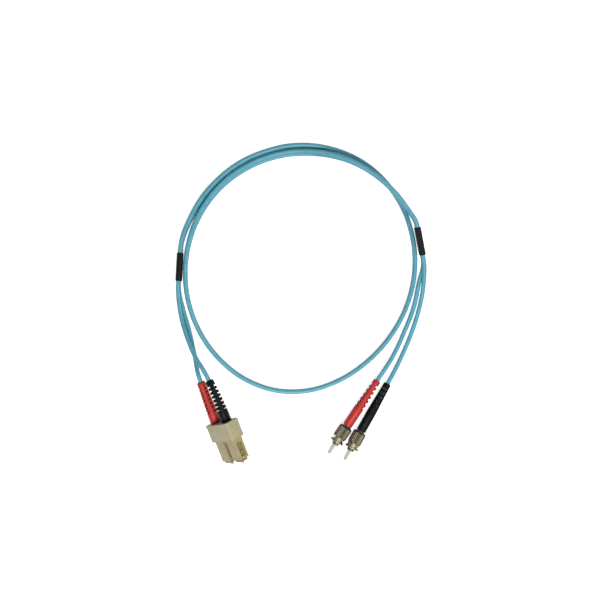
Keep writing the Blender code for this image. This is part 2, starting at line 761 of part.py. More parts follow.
def make_housing(name, axis):
    """The push-pull shell: a square tube with a latch window in each narrow side and a key below."""
    half_width, half_depth = HOUSING_WIDTH / 2, HOUSING_DEPTH / 2
    shell = box_mesh(
        name, (-half_width, -half_depth, HOUSING_BACK), (half_width, half_depth, HOUSING_FRONT)
    )
    housing = add_part(name, shell, axis, BEIGE_SHELL)
    round_edges(housing, HOUSING_EDGE_ROUND)
    key_front = HOUSING_FRONT - KEY_SETBACK
    key = box_mesh(
        name + "_key",
        (-KEY_WIDTH / 2, -half_depth - KEY_HEIGHT, key_front - KEY_LENGTH),
        (KEY_WIDTH / 2, -half_depth + JOIN_DEPTH, key_front),
    )
    join(housing, add_cutter(name + "_key", key, axis))
    passage = box_mesh(
        name + "_passage",
        (HOUSING_WALL - half_width, HOUSING_WALL - half_depth, HOUSING_BACK - CUT_OVERRUN),
        (half_width - HOUSING_WALL, half_depth - HOUSING_WALL, HOUSING_FRONT + CUT_OVERRUN),
    )
    cut(housing, add_cutter(name + "_passage", passage, axis))
    window = box_mesh(
        name + "_window",
        (-half_width - CUT_OVERRUN, -WINDOW_WIDTH / 2, WINDOW_BACK),
        (half_width + CUT_OVERRUN, WINDOW_WIDTH / 2, WINDOW_FRONT),
    )
    cut(housing, add_cutter(name + "_window", window, axis))


def make_plug_frame(name, axis):
    """The inner body: a stepped bore for holder and spring, and latch lugs that show in the windows."""
    half_width, half_depth = FRAME_WIDTH / 2, FRAME_DEPTH / 2
    body = box_mesh(
        name, (-half_width, -half_depth, FRAME_BACK), (half_width, half_depth, FRAME_FRONT)
    )
    frame = add_part(name, body, axis, OLIVE_FRAME)
    round_edges(frame, FRAME_EDGE_ROUND)
    back_lug = WINDOW_BACK + SEAT_GAP
    front_lug = WINDOW_FRONT - SHELL_TRAVEL - SEAT_GAP
    lugs = (
        (back_lug, back_lug + LATCH_BACK_LENGTH),
        (front_lug - LATCH_FRONT_LENGTH, front_lug),
    )
    for back, front in lugs:
        lug = box_mesh(
            name + "_lug",
            (-half_width - LATCH_HEIGHT, -LATCH_WIDTH / 2, back),
            (half_width + LATCH_HEIGHT, LATCH_WIDTH / 2, front),
        )
        join(frame, add_cutter(name + "_lug", lug, axis))
    nose_back = FRAME_FRONT - FRAME_NOSE_WALL
    bore = [
        (0.0, FRAME_FRONT + CUT_OVERRUN),
        (FERRULE_RADIUS + SLIDE_GAP, FRAME_FRONT + CUT_OVERRUN),
        (FERRULE_RADIUS + SLIDE_GAP, nose_back),
        (FRAME_BORE_RADIUS, nose_back),
        (FRAME_BORE_RADIUS, FRAME_BACK - CUT_OVERRUN),
        (0.0, FRAME_BACK - CUT_OVERRUN),
    ]
    cut(frame, turned_cutter(name + "_bore", bore, axis))


def make_holder(name, axis):
    """The metal holder behind the ferrule: a disc that the spring pushes and a tube that guides it."""
    seat_back = SC_FERRULE_BACK - PRESS_GAP
    outline = [
        (HOLDER_DISC_RADIUS, HOLDER_FRONT),
        (HOLDER_DISC_RADIUS, HOLDER_DISC_BACK),
        (HOLDER_TUBE_RADIUS, HOLDER_DISC_BACK),
        (HOLDER_TUBE_RADIUS, HOLDER_BACK),
        (FIBRE_BORE_RADIUS, HOLDER_BACK),
        (FIBRE_BORE_RADIUS, seat_back),
        (FERRULE_SEAT_RADIUS, seat_back),
        (FERRULE_SEAT_RADIUS, HOLDER_FRONT),
    ]
    turned_part(name, outline, axis, NICKEL, SMALL_STEPS)


def make_stop_ring(name, axis):
    """The back body: a tube that guides the holder, a rim that closes the frame, and the crimp post."""
    tube_radius = FRAME_BORE_RADIUS - BORE_GAP
    rim_radius = STOP_RING_RIM_DIAMETER / 2
    guide_bore = HOLDER_TUBE_RADIUS + SLIDE_GAP
    guide_back = HOLDER_BACK - FERRULE_TRAVEL - SEAT_GAP
    outline = [
        (tube_radius, STOP_RING_FRONT),
        (tube_radius, STOP_RING_RIM_FRONT),
        (rim_radius, STOP_RING_RIM_FRONT),
        (rim_radius, STOP_RING_RIM_BACK),
        (POST_RADIUS, STOP_RING_RIM_BACK),
        (POST_RADIUS, SC_POST_BACK),
        (FIBRE_BORE_RADIUS, SC_POST_BACK),
        (FIBRE_BORE_RADIUS, guide_back),
        (guide_bore, guide_back),
        (guide_bore, STOP_RING_FRONT),
    ]
    turned_part(name, outline, axis, NICKEL, SMALL_STEPS)


def sc_boot(bend, slots, slot_turn):
    collar_radius = BOOT_FRONT_BORE + BOOT_COLLAR_WALL
    return {
        "tail": -SC_BOOT_TAIL,
        "bore_step": SC_CRIMP_BACK - SEAT_GAP,
        "front_outline": [
            (collar_radius, SC_BOOT_FRONT),
            (collar_radius, SC_BOOT_SHOULDER),
            (SC_BOOT_BASE_RADIUS, SC_BOOT_SHOULDER),
        ],
        "bore_outline": [(BOOT_FRONT_BORE, SC_BOOT_FRONT)],
        "base_radius": SC_BOOT_BASE_RADIUS,
        "taper_start": -SC_BOOT_SMOOTH,
        "slot_pitch": SC_BOOT_SLOT_PITCH,
        "slots": slots,
        "slot_turn": slot_turn,
        "bend": bend,
        "bend_start": SC_CRIMP_BACK,
    }


def make_sc_port(colour, axis, material, boot):
    name = "sc_" + colour
    make_housing(name + "_housing", axis)
    make_plug_frame(name + "_plug_frame", axis)
    make_ferrule(name + "_ferrule", axis, SC_FERRULE_BACK, SC_TIP)
    make_holder(name + "_ferrule_holder", axis)
    make_spring(
        name + "_spring",
        axis,
        SC_SPRING_BACK,
        SC_SPRING_FRONT,
        (HOLDER_TUBE_RADIUS + FRAME_BORE_RADIUS) / 2,
        SC_SPRING_WIRE,
        SC_SPRING_TURNS,
        SC_SPRING_RESOLUTION,
    )
    make_stop_ring(name + "_stop_ring", axis)
    make_fibre(name + "_fibre", axis, SC_FIBRE_BACK, SC_FERRULE_BACK - SEAT_GAP)
    make_crimp_sleeve(
        name + "_crimp_sleeve", axis, STOP_RING_RIM_BACK - SEAT_GAP, SC_CRIMP_STEP, SC_CRIMP_BACK
    )
    make_boot(name + "_boot", axis, material, boot)


# ST plug

NUT_RADIUS = NUT_DIAMETER / 2
NUT_RING_RADIUS = NUT_RADIUS - NUT_KNURL_DEPTH
NUT_BORE_RADIUS = NUT_RING_RADIUS - NUT_WALL
NUT_RIM_RADIUS = NUT_RING_RADIUS + NUT_RIM_HEIGHT
BARREL_RADIUS = BARREL_DIAMETER / 2
WASHER_BACK = NUT_BACK_WALL + SEAT_GAP
WASHER_FRONT = WASHER_BACK + WASHER_THICKNESS
ST_SPRING_BACK = WASHER_FRONT + SEAT_GAP
ST_SPRING_FRONT = ST_SPRING_BACK + ST_SPRING_LENGTH
FLANGE_BACK = ST_SPRING_FRONT + SEAT_GAP
FLANGE_FRONT = FLANGE_BACK + BARREL_FLANGE_LENGTH
FLANGE_RADIUS = NUT_BORE_RADIUS - SLIDE_GAP
NOSE_FRONT = NUT_LENGTH + BARREL_NOSE_PROUD
ST_TIP = NOSE_FRONT + ST_FERRULE_PROUD
ST_FERRULE_BACK = ST_TIP - ST_FERRULE_LENGTH
RING_FRONT = -SEAT_GAP
RING_BACK = RING_FRONT - RING_THICKNESS
RING_GROOVE_RADIUS = BARREL_RADIUS - RING_GROOVE
ST_POST_BACK = -BARREL_BACK - ST_POST_LENGTH
ST_JACKET_END = ST_POST_BACK - SEAT_GAP
ST_CRIMP_STEP = ST_JACKET_END
ST_CRIMP_BACK = ST_CRIMP_STEP - CRIMP_GRIP_LENGTH
ST_BOOT_FRONT = RING_BACK - SEAT_GAP
ST_BOOT_TAIL = ST_BOOT_FRONT - ST_BOOT_LENGTH
ST_BOOT_BASE_RADIUS = ST_BOOT_BASE_DIAMETER / 2


def make_barrel(name, axis):
    """The metal body: crimp post, ring groove, spring land, flange, and a nose with its key."""
    groove_front, groove_back = RING_FRONT + PRESS_GAP, RING_BACK - PRESS_GAP
    nose_radius = BARREL_NOSE_DIAMETER / 2
    seat_back = ST_FERRULE_BACK - PRESS_GAP
    outline = [
        (nose_radius, NOSE_FRONT),
        (nose_radius, FLANGE_FRONT),
        (FLANGE_RADIUS, FLANGE_FRONT),
        (FLANGE_RADIUS, FLANGE_BACK),
        (BARREL_RADIUS, FLANGE_BACK),
        (BARREL_RADIUS, groove_front),
        (RING_GROOVE_RADIUS, groove_front),
        (RING_GROOVE_RADIUS, groove_back),
        (BARREL_RADIUS, groove_back),
        (BARREL_RADIUS, -BARREL_BACK),
        (POST_RADIUS, -BARREL_BACK),
        (POST_RADIUS, ST_POST_BACK),
        (FIBRE_BORE_RADIUS, ST_POST_BACK),
        (FIBRE_BORE_RADIUS, seat_back),
        (FERRULE_SEAT_RADIUS, seat_back),
        (FERRULE_SEAT_RADIUS, NOSE_FRONT),
    ]
    barrel = turned_part(name, outline, axis, NICKEL, SMALL_STEPS)
    key = box_mesh(
        name + "_key",
        (-BARREL_KEY_WIDTH / 2, nose_radius - 2 * JOIN_DEPTH, FLANGE_FRONT - JOIN_DEPTH),
        (BARREL_KEY_WIDTH / 2, FLANGE_RADIUS, FLANGE_FRONT + BARREL_KEY_LENGTH),
    )
    join(barrel, add_cutter(name + "_key", key, axis))


def make_knurl(name, axis):
    """A band of V ridges along the axis, to be joined to the nut."""
    outer = []
    for i in range(2 * NUT_KNURL_COUNT):
        radius = NUT_RADIUS if i % 2 == 0 else NUT_RADIUS - NUT_KNURL_DEPTH
        angle = math.pi * i / NUT_KNURL_COUNT
        outer.append((radius * math.cos(angle), radius * math.sin(angle)))
    inner_radius = NUT_RING_RADIUS - NUT_WALL / 2
    inner = arc((0.0, 0.0), inner_radius, 0.0, 2 * math.pi, NUT_KNURL_COUNT + 1)[:-1]
    curve = spline_curve(name, outer, "2D", cyclic=True)
    add_spline(curve, inner, cyclic=True)
    curve.fill_mode = "BOTH"
    curve.extrude = NUT_KNURL_LENGTH / 2
    band = add_cutter(name, mesh_of_curve(name, curve), axis)
    band.location.z = NUT_KNURL_START + NUT_KNURL_LENGTH / 2
    return band


def ramp_mesh(name, start_angle, front, inner, outer):
    """A band round the nut's wall that falls away from the rim over the cam's sweep."""
    bm = bmesh.new()
    rows = []
    for i in range(CAM_STEPS + 1):
        angle = start_angle + CAM_SWEEP * i / CAM_STEPS
        height = front - CAM_RISE * i / CAM_STEPS
        low, high = height - CAM_WIDTH / 2, height + CAM_WIDTH / 2
        corners = ((inner, low), (outer, low), (outer, high), (inner, high))
        row = []
        for radius, level in corners:
            row.append(bm.verts.new((radius * math.cos(angle), radius * math.sin(angle), level)))
        rows.append(row)
    for one, other in zip(rows, rows[1:]):
        for k in range(4):
            bm.faces.new((one[k], one[k - 1], other[k - 1], other[k]))
    bm.faces.new(rows[0])
    bm.faces.new(rows[-1])
    bmesh.ops.recalc_face_normals(bm, faces=bm.faces)
    return mesh_from(bm, name + "_ramp")


def make_cam(name, axis, start_angle):
    """Cutters for one bayonet slot: an entry at the rim, a ramp round the wall and a round seat."""
    inner, outer = NUT_BORE_RADIUS - CUT_OVERRUN, NUT_RIM_RADIUS + CUT_OVERRUN
    ramp_front = NUT_LENGTH - CAM_ENTRY_DEPTH
    turn_matrix = Matrix.Rotation(start_angle, 4, "Z")
    entry = box_mesh(
        name + "_entry",
        (inner, -CAM_WIDTH / 2, ramp_front - CAM_WIDTH / 2),
        (outer, CAM_WIDTH / 2, NUT_LENGTH + CUT_OVERRUN),
    )
    entry.transform(turn_matrix)
    yield add_cutter(name + "_entry", entry, axis)
    yield add_cutter(name + "_ramp", ramp_mesh(name, start_angle, ramp_front, inner, outer), axis)
    seat_place = Matrix.Rotation(start_angle + CAM_SWEEP, 4, "Z") @ Matrix.Translation(
        (0.0, 0.0, ramp_front - CAM_RISE)
    )
    seat_matrix = seat_place @ Matrix.Rotation(math.pi / 2, 4, "Y")
    yield add_cutter(
        name + "_seat", rod_mesh(name, CAM_SEAT_DIAMETER / 2, inner, outer, seat_matrix), axis
    )


def make_nut(name, axis, cam_turn):
    """The bayonet nut: a knurled grip and a front ring with two cam slots."""
    back_bore = BARREL_RADIUS + SLIDE_GAP
    outline = [
        (NUT_RIM_RADIUS, NUT_LENGTH),
        (NUT_RIM_RADIUS, NUT_LENGTH - NUT_RIM_LENGTH),
        (NUT_RING_RADIUS, NUT_LENGTH - NUT_RIM_LENGTH),
        (NUT_RING_RADIUS, NUT_KNURL_START / 2),
        (NUT_RING_RADIUS - NUT_KNURL_START / 2, 0.0),
        (back_bore, 0.0),
        (back_bore, NUT_BACK_WALL),
        (NUT_BORE_RADIUS, NUT_BACK_WALL),
        (NUT_BORE_RADIUS, NUT_LENGTH),
    ]
    nut = turned_part(name, outline, axis, NICKEL, NUT_KNURL_COUNT)
    join(nut, make_knurl(name + "_knurl", axis))
    for i in range(2):
        for cutter in make_cam(f"{name}_cam_{i}", axis, cam_turn + math.pi * i):
            cut(nut, cutter)


def make_washer(name, axis):
    inner, outer = BARREL_RADIUS + SLIDE_GAP, NUT_BORE_RADIUS - SLIDE_GAP
    outline = [
        (outer, WASHER_FRONT),
        (outer, WASHER_BACK),
        (inner, WASHER_BACK),
        (inner, WASHER_FRONT),
    ]
    turned_part(name, outline, axis, STEEL, ROUND_STEPS)


def make_retaining_ring(name, axis):
    """An open ring in the barrel's groove, which the nut's back wall stops on."""
    inner, outer = RING_GROOVE_RADIUS + PRESS_GAP, BARREL_RADIUS + RING_PROUD
    outline = [
        (outer, RING_FRONT),
        (outer, RING_BACK),
        (inner, RING_BACK),
        (inner, RING_FRONT),
    ]
    ring = turned_part(name, outline, axis, STEEL, ROUND_STEPS)
    mouth = box_mesh(
        name + "_mouth",
        (-RING_MOUTH / 2, 0.0, RING_BACK - CUT_OVERRUN),
        (RING_MOUTH / 2, outer + CUT_OVERRUN, RING_FRONT + CUT_OVERRUN),
    )
    cut(ring, add_cutter(name + "_mouth", mouth, axis))


def st_boot(slots, slot_turn):
    mouth_radius = BARREL_RADIUS + BORE_GAP
    mouth_back = -BARREL_BACK - SEAT_GAP
    return {
        "tail": ST_BOOT_TAIL,
        "bore_step": ST_CRIMP_BACK - SEAT_GAP,
        "front_outline": [(ST_BOOT_BASE_RADIUS, ST_BOOT_FRONT)],
        "bore_outline": [
            (BOOT_FRONT_BORE, mouth_back),
            (mouth_radius, mouth_back),
            (mouth_radius, ST_BOOT_FRONT),
        ],
        "base_radius": ST_BOOT_BASE_RADIUS,
        "taper_start": ST_BOOT_FRONT - ST_BOOT_SMOOTH,
        "slot_pitch": ST_BOOT_SLOT_PITCH,
        "slots": slots,
        "slot_turn": slot_turn,
        "bend": 0.0,
        "bend_start": ST_CRIMP_BACK,
    }


def make_st_plug(colour, axis, material, boot, cam_turn):
    name = "st_" + colour
    make_nut(name + "_nut", axis, cam_turn)
    make_barrel(name + "_barrel", axis)
    make_washer(name + "_thrust_washer", axis)
    make_spring(
        name + "_spring",
        axis,
        ST_SPRING_BACK,
        ST_SPRING_FRONT,
        (BARREL_RADIUS + NUT_BORE_RADIUS) / 2,
        ST_SPRING_WIRE,
        ST_SPRING_TURNS,
        ST_SPRING_RESOLUTION,
    )
    make_retaining_ring(name + "_retaining_ring", axis)
    make_ferrule(name + "_ferrule", axis, ST_FERRULE_BACK, ST_TIP)
    make_fibre(name + "_fibre", axis, ST_POST_BACK, ST_FERRULE_BACK - SEAT_GAP)
    make_crimp_sleeve(
        name + "_crimp_sleeve", axis, -BARREL_BACK - SEAT_GAP, ST_CRIMP_STEP, ST_CRIMP_BACK
    )
    make_boot(name + "_boot", axis, material, boot)


# Cord, legs and split sleeves


def resting_height(lean):
    """Height of the middle of the zip cord when its lower jacket lies on the table."""
    return JACKET_RADIUS + JACKET_SPACING / 2 * math.cos(lean) + FLOOR_GAP


def sleeve_frame(place, heading, slope, lift):
    """A frame whose Z axis leads out of a sleeve's split end and whose Y axis is up."""
    height = resting_height(0.0) + BORE_GAP + SLEEVE_WALL + lift * CROSSING_LIFT
    return plug_matrix(place + Vector((0.0, 0.0, height)), heading, slope)


def make_split_sleeve(name, parent, frame):
    """An oblong heat-shrink tube around the end of the zip cord and the starts of its two legs."""
    inner_radius = JACKET_RADIUS + BORE_GAP
    outer = oblong(inner_radius + SLEEVE_WALL, JACKET_SPACING, SLEEVE_ARC_POINTS)
    curve = spline_curve(name, outer, "2D", cyclic=True)
    inner = oblong(inner_radius, JACKET_SPACING, SLEEVE_ARC_POINTS)
    add_spline(curve, inner, cyclic=True)
    curve.fill_mode = "BOTH"
    curve.extrude = SLEEVE_LENGTH / 2
    sleeve = add_part(name, curve, parent, BLACK_SLEEVE)
    sleeve.matrix_local = frame


def zip_end(sleeve):
    """Where the zip cord ends in a sleeve and where it comes out, on the sleeve's axis."""
    inside = SLEEVE_LENGTH * (SLEEVE_ZIP_SHARE - 0.5)
    outside = -SLEEVE_LENGTH / 2 - JACKET_RADIUS
    return sleeve @ Vector((0, 0, inside)), sleeve @ Vector((0, 0, outside))


def zip_section():
    """The outline of the twin jackets and the web between them, about the middle of the web."""
    half_spacing, half_web = JACKET_SPACING / 2, WEB_THICKNESS / 2
    throat = math.acos(half_web / JACKET_RADIUS)
    ends = (-throat, math.pi + throat)
    upper = arc((0.0, half_spacing), JACKET_RADIUS, *ends, JACKET_ARC_POINTS)
    lower = [(-x, -y) for x, y in upper]
    return upper + lower


def zip_route(sc_sleeve, st_sleeve):
    """Route points of the zip cord with their lean, between the mouths of the two sleeves."""
    points = [(*zip_end(sc_sleeve)[1], 0.0)]
    for degrees, radius, share, lean in ZIP_ROUTE:
        angle = math.radians(degrees)
        lean = math.radians(lean)
        place = LOOP_CENTRE + Vector((math.cos(angle), math.sin(angle), 0.0)) * (radius * MM)
        height = resting_height(lean) + share * CROSSING_LIFT
        points.append((place.x, place.y, height, lean))
    points.append((*zip_end(st_sleeve)[1], 0.0))
    return points


def zip_path(sc_sleeve, st_sleeve, step):
    """The zip cord's middle line from inside one sleeve to inside the other, with its lean."""
    route = zip_route(sc_sleeve, st_sleeve)
    away = -(sc_sleeve.to_3x3() @ Vector((0, 0, 1)))
    into = st_sleeve.to_3x3() @ Vector((0, 0, 1))
    path = smooth_path(route, step, away, into)
    first = [(*zip_end(sc_sleeve)[0], 0.0)]
    last = [(*zip_end(st_sleeve)[0], 0.0)]
    return np.vstack([first, path, last])


def jacket_lines(path):
    """The middle lines of the two jackets of a zip cord, leaning as the curve's tilt turns them."""
    ahead = np.gradient(path[:, :3], axis=0)
    ahead /= np.linalg.norm(ahead, axis=1)[:, None]
    outward = np.cross(np.array([0.0, 0.0, 1.0]), ahead)
    outward /= np.linalg.norm(outward, axis=1)[:, None]
    upright = np.cross(ahead, outward)
    lean = path[:, 3][:, None]
    towards = np.cos(lean) * upright - np.sin(lean) * outward
    half = JACKET_SPACING / 2 * towards
    return path[:, :3] + half, path[:, :3] - half


def least_self_gap(path):
    """The least gap between the jackets of two passes of the cord, measured on its points."""
    travel = np.concatenate(
        [[0.0], np.cumsum(np.linalg.norm(np.diff(path[:, :3], axis=0), axis=1))]
    )
    apart = np.abs(travel[:, None] - travel[None, :]) > 10 * ZIP_HEIGHT
    lines = jacket_lines(path)
    least = math.inf
    for one in lines:
        for other in lines:
            distance = np.linalg.norm(one[:, None, :] - other[None, :, :], axis=2)
            least = min(least, float(distance[apart].min()))
    return least - JACKET_DIAMETER


def make_zipcord(parent, sc_sleeve, st_sleeve):
    path = zip_path(sc_sleeve, st_sleeve, ZIP_STEP)
    tilts = [float(lean) for lean in path[:, 3]]
    points = [tuple(point[:3]) for point in path]
    mesh = swept_mesh("zipcord_loop", points, tilts, zip_section())
    add_part("zipcord_loop", mesh, parent, AQUA_JACKET)
    gap = least_self_gap(zip_path(sc_sleeve, st_sleeve, MM))
    print(f"zipcord_loop: length {path_length(path) / MM:.0f} mm, least gap {gap / MM:.2f} mm")
    if gap < SELF_GAP_LEAST:
        print("zipcord_loop: the least gap is under its limit")


def leg_boot_points(axis_matrix, jacket_end, boot):
    """Points on a boot's axis from the end of the jacket to one diameter behind its tail."""
    start, tail = boot["bend_start"], boot["tail"]
    heights = [jacket_end, start]
    heights += [start + (tail - start) * share for share in (0.25, 0.5, 0.75, 1.0)]
    heights.append(tail - JACKET_DIAMETER)
    points = []
    for height in heights:
        if height >= start:
            points.append(axis_matrix @ Vector((0.0, 0.0, height)))
            continue
        offset, travel, _ = bent_axis(start - height, start - tail, boot["bend"])
        points.append(axis_matrix @ Vector((offset, 0.0, start - travel)))
    return points


def make_leg(name, parent, sleeve, level, route, axis_matrix, jacket_end, boot):
    """One jacket from the split sleeve to the crimp sleeve in its boot."""
    side = level * JACKET_SPACING / 2
    inside = SLEEVE_LENGTH * (SLEEVE_ZIP_SHARE - 0.5) + SEAT_GAP
    outside = SLEEVE_LENGTH / 2 + JACKET_DIAMETER
    start = sleeve @ Vector((0.0, side, inside))
    mouth = sleeve @ Vector((0.0, side, outside))
    into_boot = leg_boot_points(axis_matrix, jacket_end, boot)[::-1]
    keys = [tuple(mouth)]
    keys += [tuple(Vector(point) * MM) for point in route]
    keys.append(tuple(into_boot[0]))
    out = sleeve.to_3x3() @ Vector((0, 0, 1))
    into = (into_boot[1] - into_boot[0]).normalized()
    path = [tuple(start)]
    path += [tuple(point) for point in smooth_path(keys, LEG_STEP, out, into)]
    path += [tuple(point) for point in into_boot[1:]]
    curve = tube_curve(name, path, JACKET_RADIUS, LEG_RESOLUTION)
    add_part(name, curve, parent, AQUA_JACKET)
    print(f"{name}: length {path_length(path) / MM:.0f} mm")


def build():
    layout = add_empty("layout", Matrix.Translation(-ORIGIN), None)
    sc_matrix = plug_matrix(SC_PLACE, SC_HEADING, SC_PITCH_DOWN, SC_ROLL)
    sc_plug = add_empty("sc_plug", sc_matrix, layout)
    make_clip(sc_plug)
    ports = (
        ("red", -1, RED_BOOT, sc_boot(SC_RED_BEND, bridged_slots, SC_RED_SLOT_TURN)),
        ("black", 1, BLACK_BOOT, sc_boot(-SC_BLACK_BEND, crossed_slots, SC_BLACK_SLOT_TURN)),
    )
    sc_ends = {}
    for colour, side, material, boot in ports:
        offset = Matrix.Translation((side * SC_PITCH / 2, 0.0, 0.0))
        axis = add_empty(f"sc_{colour}_axis", offset, sc_plug)
        make_sc_port(colour, axis, material, boot)
        sc_ends[colour] = (sc_matrix @ offset, boot)

    red = st_boot(bridged_slots, ST_RED_SLOT_TURN)
    black = st_boot(crossed_slots, ST_BLACK_SLOT_TURN)
    plugs = (
        ("red", ST_RED_PLACE, ST_RED_HEADING, RED_BOOT, red, ST_RED_CAM_TURN),
        ("black", ST_BLACK_PLACE, ST_BLACK_HEADING, BLACK_BOOT, black, ST_BLACK_CAM_TURN),
    )
    st_ends = {}
    for colour, place, heading, material, boot, cam_turn in plugs:
        matrix = plug_matrix(place + Vector((0.0, 0.0, ST_AXIS_HEIGHT)), heading)
        axis = add_empty(f"st_{colour}_axis", matrix, layout)
        make_st_plug(colour, axis, material, boot, cam_turn)
        st_ends[colour] = (matrix, boot)

    sc_sleeve = sleeve_frame(SC_SLEEVE_PLACE, SC_SLEEVE_HEADING, SC_SLEEVE_SLOPE, SC_SLEEVE_LIFT)
    st_sleeve = sleeve_frame(ST_SLEEVE_PLACE, ST_SLEEVE_HEADING, ST_SLEEVE_SLOPE, ST_SLEEVE_LIFT)
    make_split_sleeve("sc_split_sleeve", layout, sc_sleeve)
    make_split_sleeve("st_split_sleeve", layout, st_sleeve)
    make_zipcord(layout, sc_sleeve, st_sleeve)
    legs = (
        ("sc_red_leg", sc_sleeve, -1, SC_RED_ROUTE, sc_ends["red"], SC_JACKET_END),
        ("sc_black_leg", sc_sleeve, 1, SC_BLACK_ROUTE, sc_ends["black"], SC_JACKET_END),
        ("st_red_leg", st_sleeve, -1, ST_RED_ROUTE, st_ends["red"], ST_JACKET_END),
        ("st_black_leg", st_sleeve, 1, ST_BLACK_ROUTE, st_ends["black"], ST_JACKET_END),
    )
    for name, sleeve, level, route, (matrix, boot), jacket_end in legs:
        make_leg(name, layout, sleeve, level, route, matrix, jacket_end, boot)
    for obj in PARTS.objects:
        if obj.type == "MESH":
            obj.data.shade_smooth()
            obj.data.set_sharp_from_angle(angle=SMOOTH_ANGLE)
    bpy.context.view_layer.update()


build()
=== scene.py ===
"""Looks for the duplex patch cord: jackets, heat-shrink, soft boots and moulded and plated pieces.

The photograph looks straight down on a white table, with the cord in a loop and the plugs towards
the lower edge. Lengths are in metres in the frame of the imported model.
"""

import math

import bmesh
import bpy
import numpy as np
from mathutils import Matrix, Vector


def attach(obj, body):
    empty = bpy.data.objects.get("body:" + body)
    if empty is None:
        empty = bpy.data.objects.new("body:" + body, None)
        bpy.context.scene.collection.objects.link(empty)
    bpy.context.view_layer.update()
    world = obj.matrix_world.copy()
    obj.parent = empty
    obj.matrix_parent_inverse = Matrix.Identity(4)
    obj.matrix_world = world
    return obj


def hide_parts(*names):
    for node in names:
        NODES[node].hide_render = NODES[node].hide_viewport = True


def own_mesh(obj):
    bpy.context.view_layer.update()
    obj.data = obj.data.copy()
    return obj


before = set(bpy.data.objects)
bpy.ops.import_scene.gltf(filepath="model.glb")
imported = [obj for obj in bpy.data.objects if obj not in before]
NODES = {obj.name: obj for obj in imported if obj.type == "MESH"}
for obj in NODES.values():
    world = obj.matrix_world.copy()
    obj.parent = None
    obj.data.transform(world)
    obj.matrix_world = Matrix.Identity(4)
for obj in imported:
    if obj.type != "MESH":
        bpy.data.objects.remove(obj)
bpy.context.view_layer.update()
ROOT = "cord_and_plugs"
MM = 0.001
UP = np.array([0.0, 0.0, 1.0])
SHARP_ANGLE = math.radians(40)
BUMP_DEPTH = 0.0001

# Where the model's origin lies, from the middle of the photograph
ORIGIN = Vector((-3.54, -79.62, 0.0)) * MM
CAMERA_HEIGHT = 0.7
CAMERA_CLIP_START = 0.01
VIEW_WIDTH = 0.4
SENSOR_WIDTH = 36.0

# Sizes and places repeated from the part
SEAT_GAP = 0.3 * MM
BORE_GAP = 0.25 * MM
JACKET_RADIUS = 1.5 * MM
JACKET_SPACING = 3.1 * MM
WEB_THICKNESS = 1.2 * MM
CROSSING_GAP = 0.65 * MM
FLOOR_GAP = 0.1 * MM
SLEEVE_LENGTH = 18.6 * MM
SLEEVE_WALL = 0.4 * MM
SC_PITCH = 12.7 * MM
SC_PLACE = Vector((-51.4, -79.6, 14.5)) * MM
SC_HEADING = math.radians(21.1)
SC_PITCH_DOWN = math.radians(4.6)
SC_ROLL = math.radians(52.3)
ST_AXIS_HEIGHT = 4.85 * MM
ST_RED_PLACE = Vector((30.7, -84.0, 0.0)) * MM
ST_RED_HEADING = math.radians(-33.8)
ST_BLACK_PLACE = Vector((39.9, -87.5, 0.0)) * MM
ST_BLACK_HEADING = math.radians(-29.5)
LOOP_CENTRE = Vector((1.0, 19.7, 0.0)) * MM
# Route of the zip cord about the middle of its loop: angle in degrees, radius in millimetres, share
# of the lift at its crossing, and lean of its upper jacket outwards in degrees. The part's solid
# leans inwards by these angles, which is a fault there.
ZIP_ROUTE = (
    (158, 81.4, 0.0, 8),
    (140, 81.2, 0.0, 22),
    (120, 81.5, 0.0, 30),
    (100, 82.0, 0.0, 30),
    (84, 82.4, 0.0, 26),
    (68, 82.3, 0.0, 16),
    (54, 81.6, 0.0, 6),
    (40, 80.0, 0.0, 0),
    (26, 78.1, 0.0, 0),
    (10, 76.1, 0.0, 0),
    (-6, 74.5, 0.0, 0),
    (-22, 73.6, 0.0, 0),
    (-38, 73.5, 0.0, 0),
    (-54, 74.7, 0.0, 0),
    (-70, 77.0, 0.0, 0),
    (-86, 79.8, 0.0, 0),
    (-102, 81.5, 0.0, 0),
    (-118, 81.4, 0.0, 0),
    (-134, 80.2, 0.0, 0),
    (-150, 78.9, 0.0, 0),
    (-166, 77.8, 0.0, 0),
    (-182, 77.0, 0.0, 0),
    (-198, 76.9, 0.0, 8),
    (-214, 77.2, 0.0, 20),
    (-230, 77.5, 0.0, 28),
    (-246, 77.7, 0.0, 30),
    (-260, 78.0, 0.05, 30),
    (-272, 78.2, 0.2, 30),
    (-284, 78.4, 0.6, 20),
    (-296, 78.7, 0.95, 8),
    (-308, 79.0, 1.0, 0),
    (-320, 79.7, 1.0, 0),
    (-331, 80.6, 0.93, 0),
)
SC_SLEEVE = (Vector((-79.9, 21.9, 0.0)) * MM, math.radians(-3.1), 0.0, 0.0)
ST_SLEEVE = (Vector((79.0, 38.8, 0.0)) * MM, math.radians(11.5), math.radians(7.0), 0.62)
SC_RED_ROUTE = ((-77.7, -6.6, 2.2), (-73.6, -19.9, 4.2), (-69.4, -36.9, 8.4))
SC_BLACK_ROUTE = ((-79.4, -6.6, 5.6), (-75.9, -19.8, 9.0), (-69.0, -35.9, 15.0))
ST_RED_ROUTE = ((78.6, 10.0, 3.6), (75.2, -6.0, 2.4), (68.8, -22.5, 2.0), (61.6, -37.6, 2.8))
ST_BLACK_ROUTE = ((81.7, 10.0, 5.6), (79.0, -6.0, 3.6), (73.7, -23.0, 2.4), (66.4, -39.8, 2.9))
CROSSING_LIFT = JACKET_SPACING + 2 * JACKET_RADIUS + CROSSING_GAP

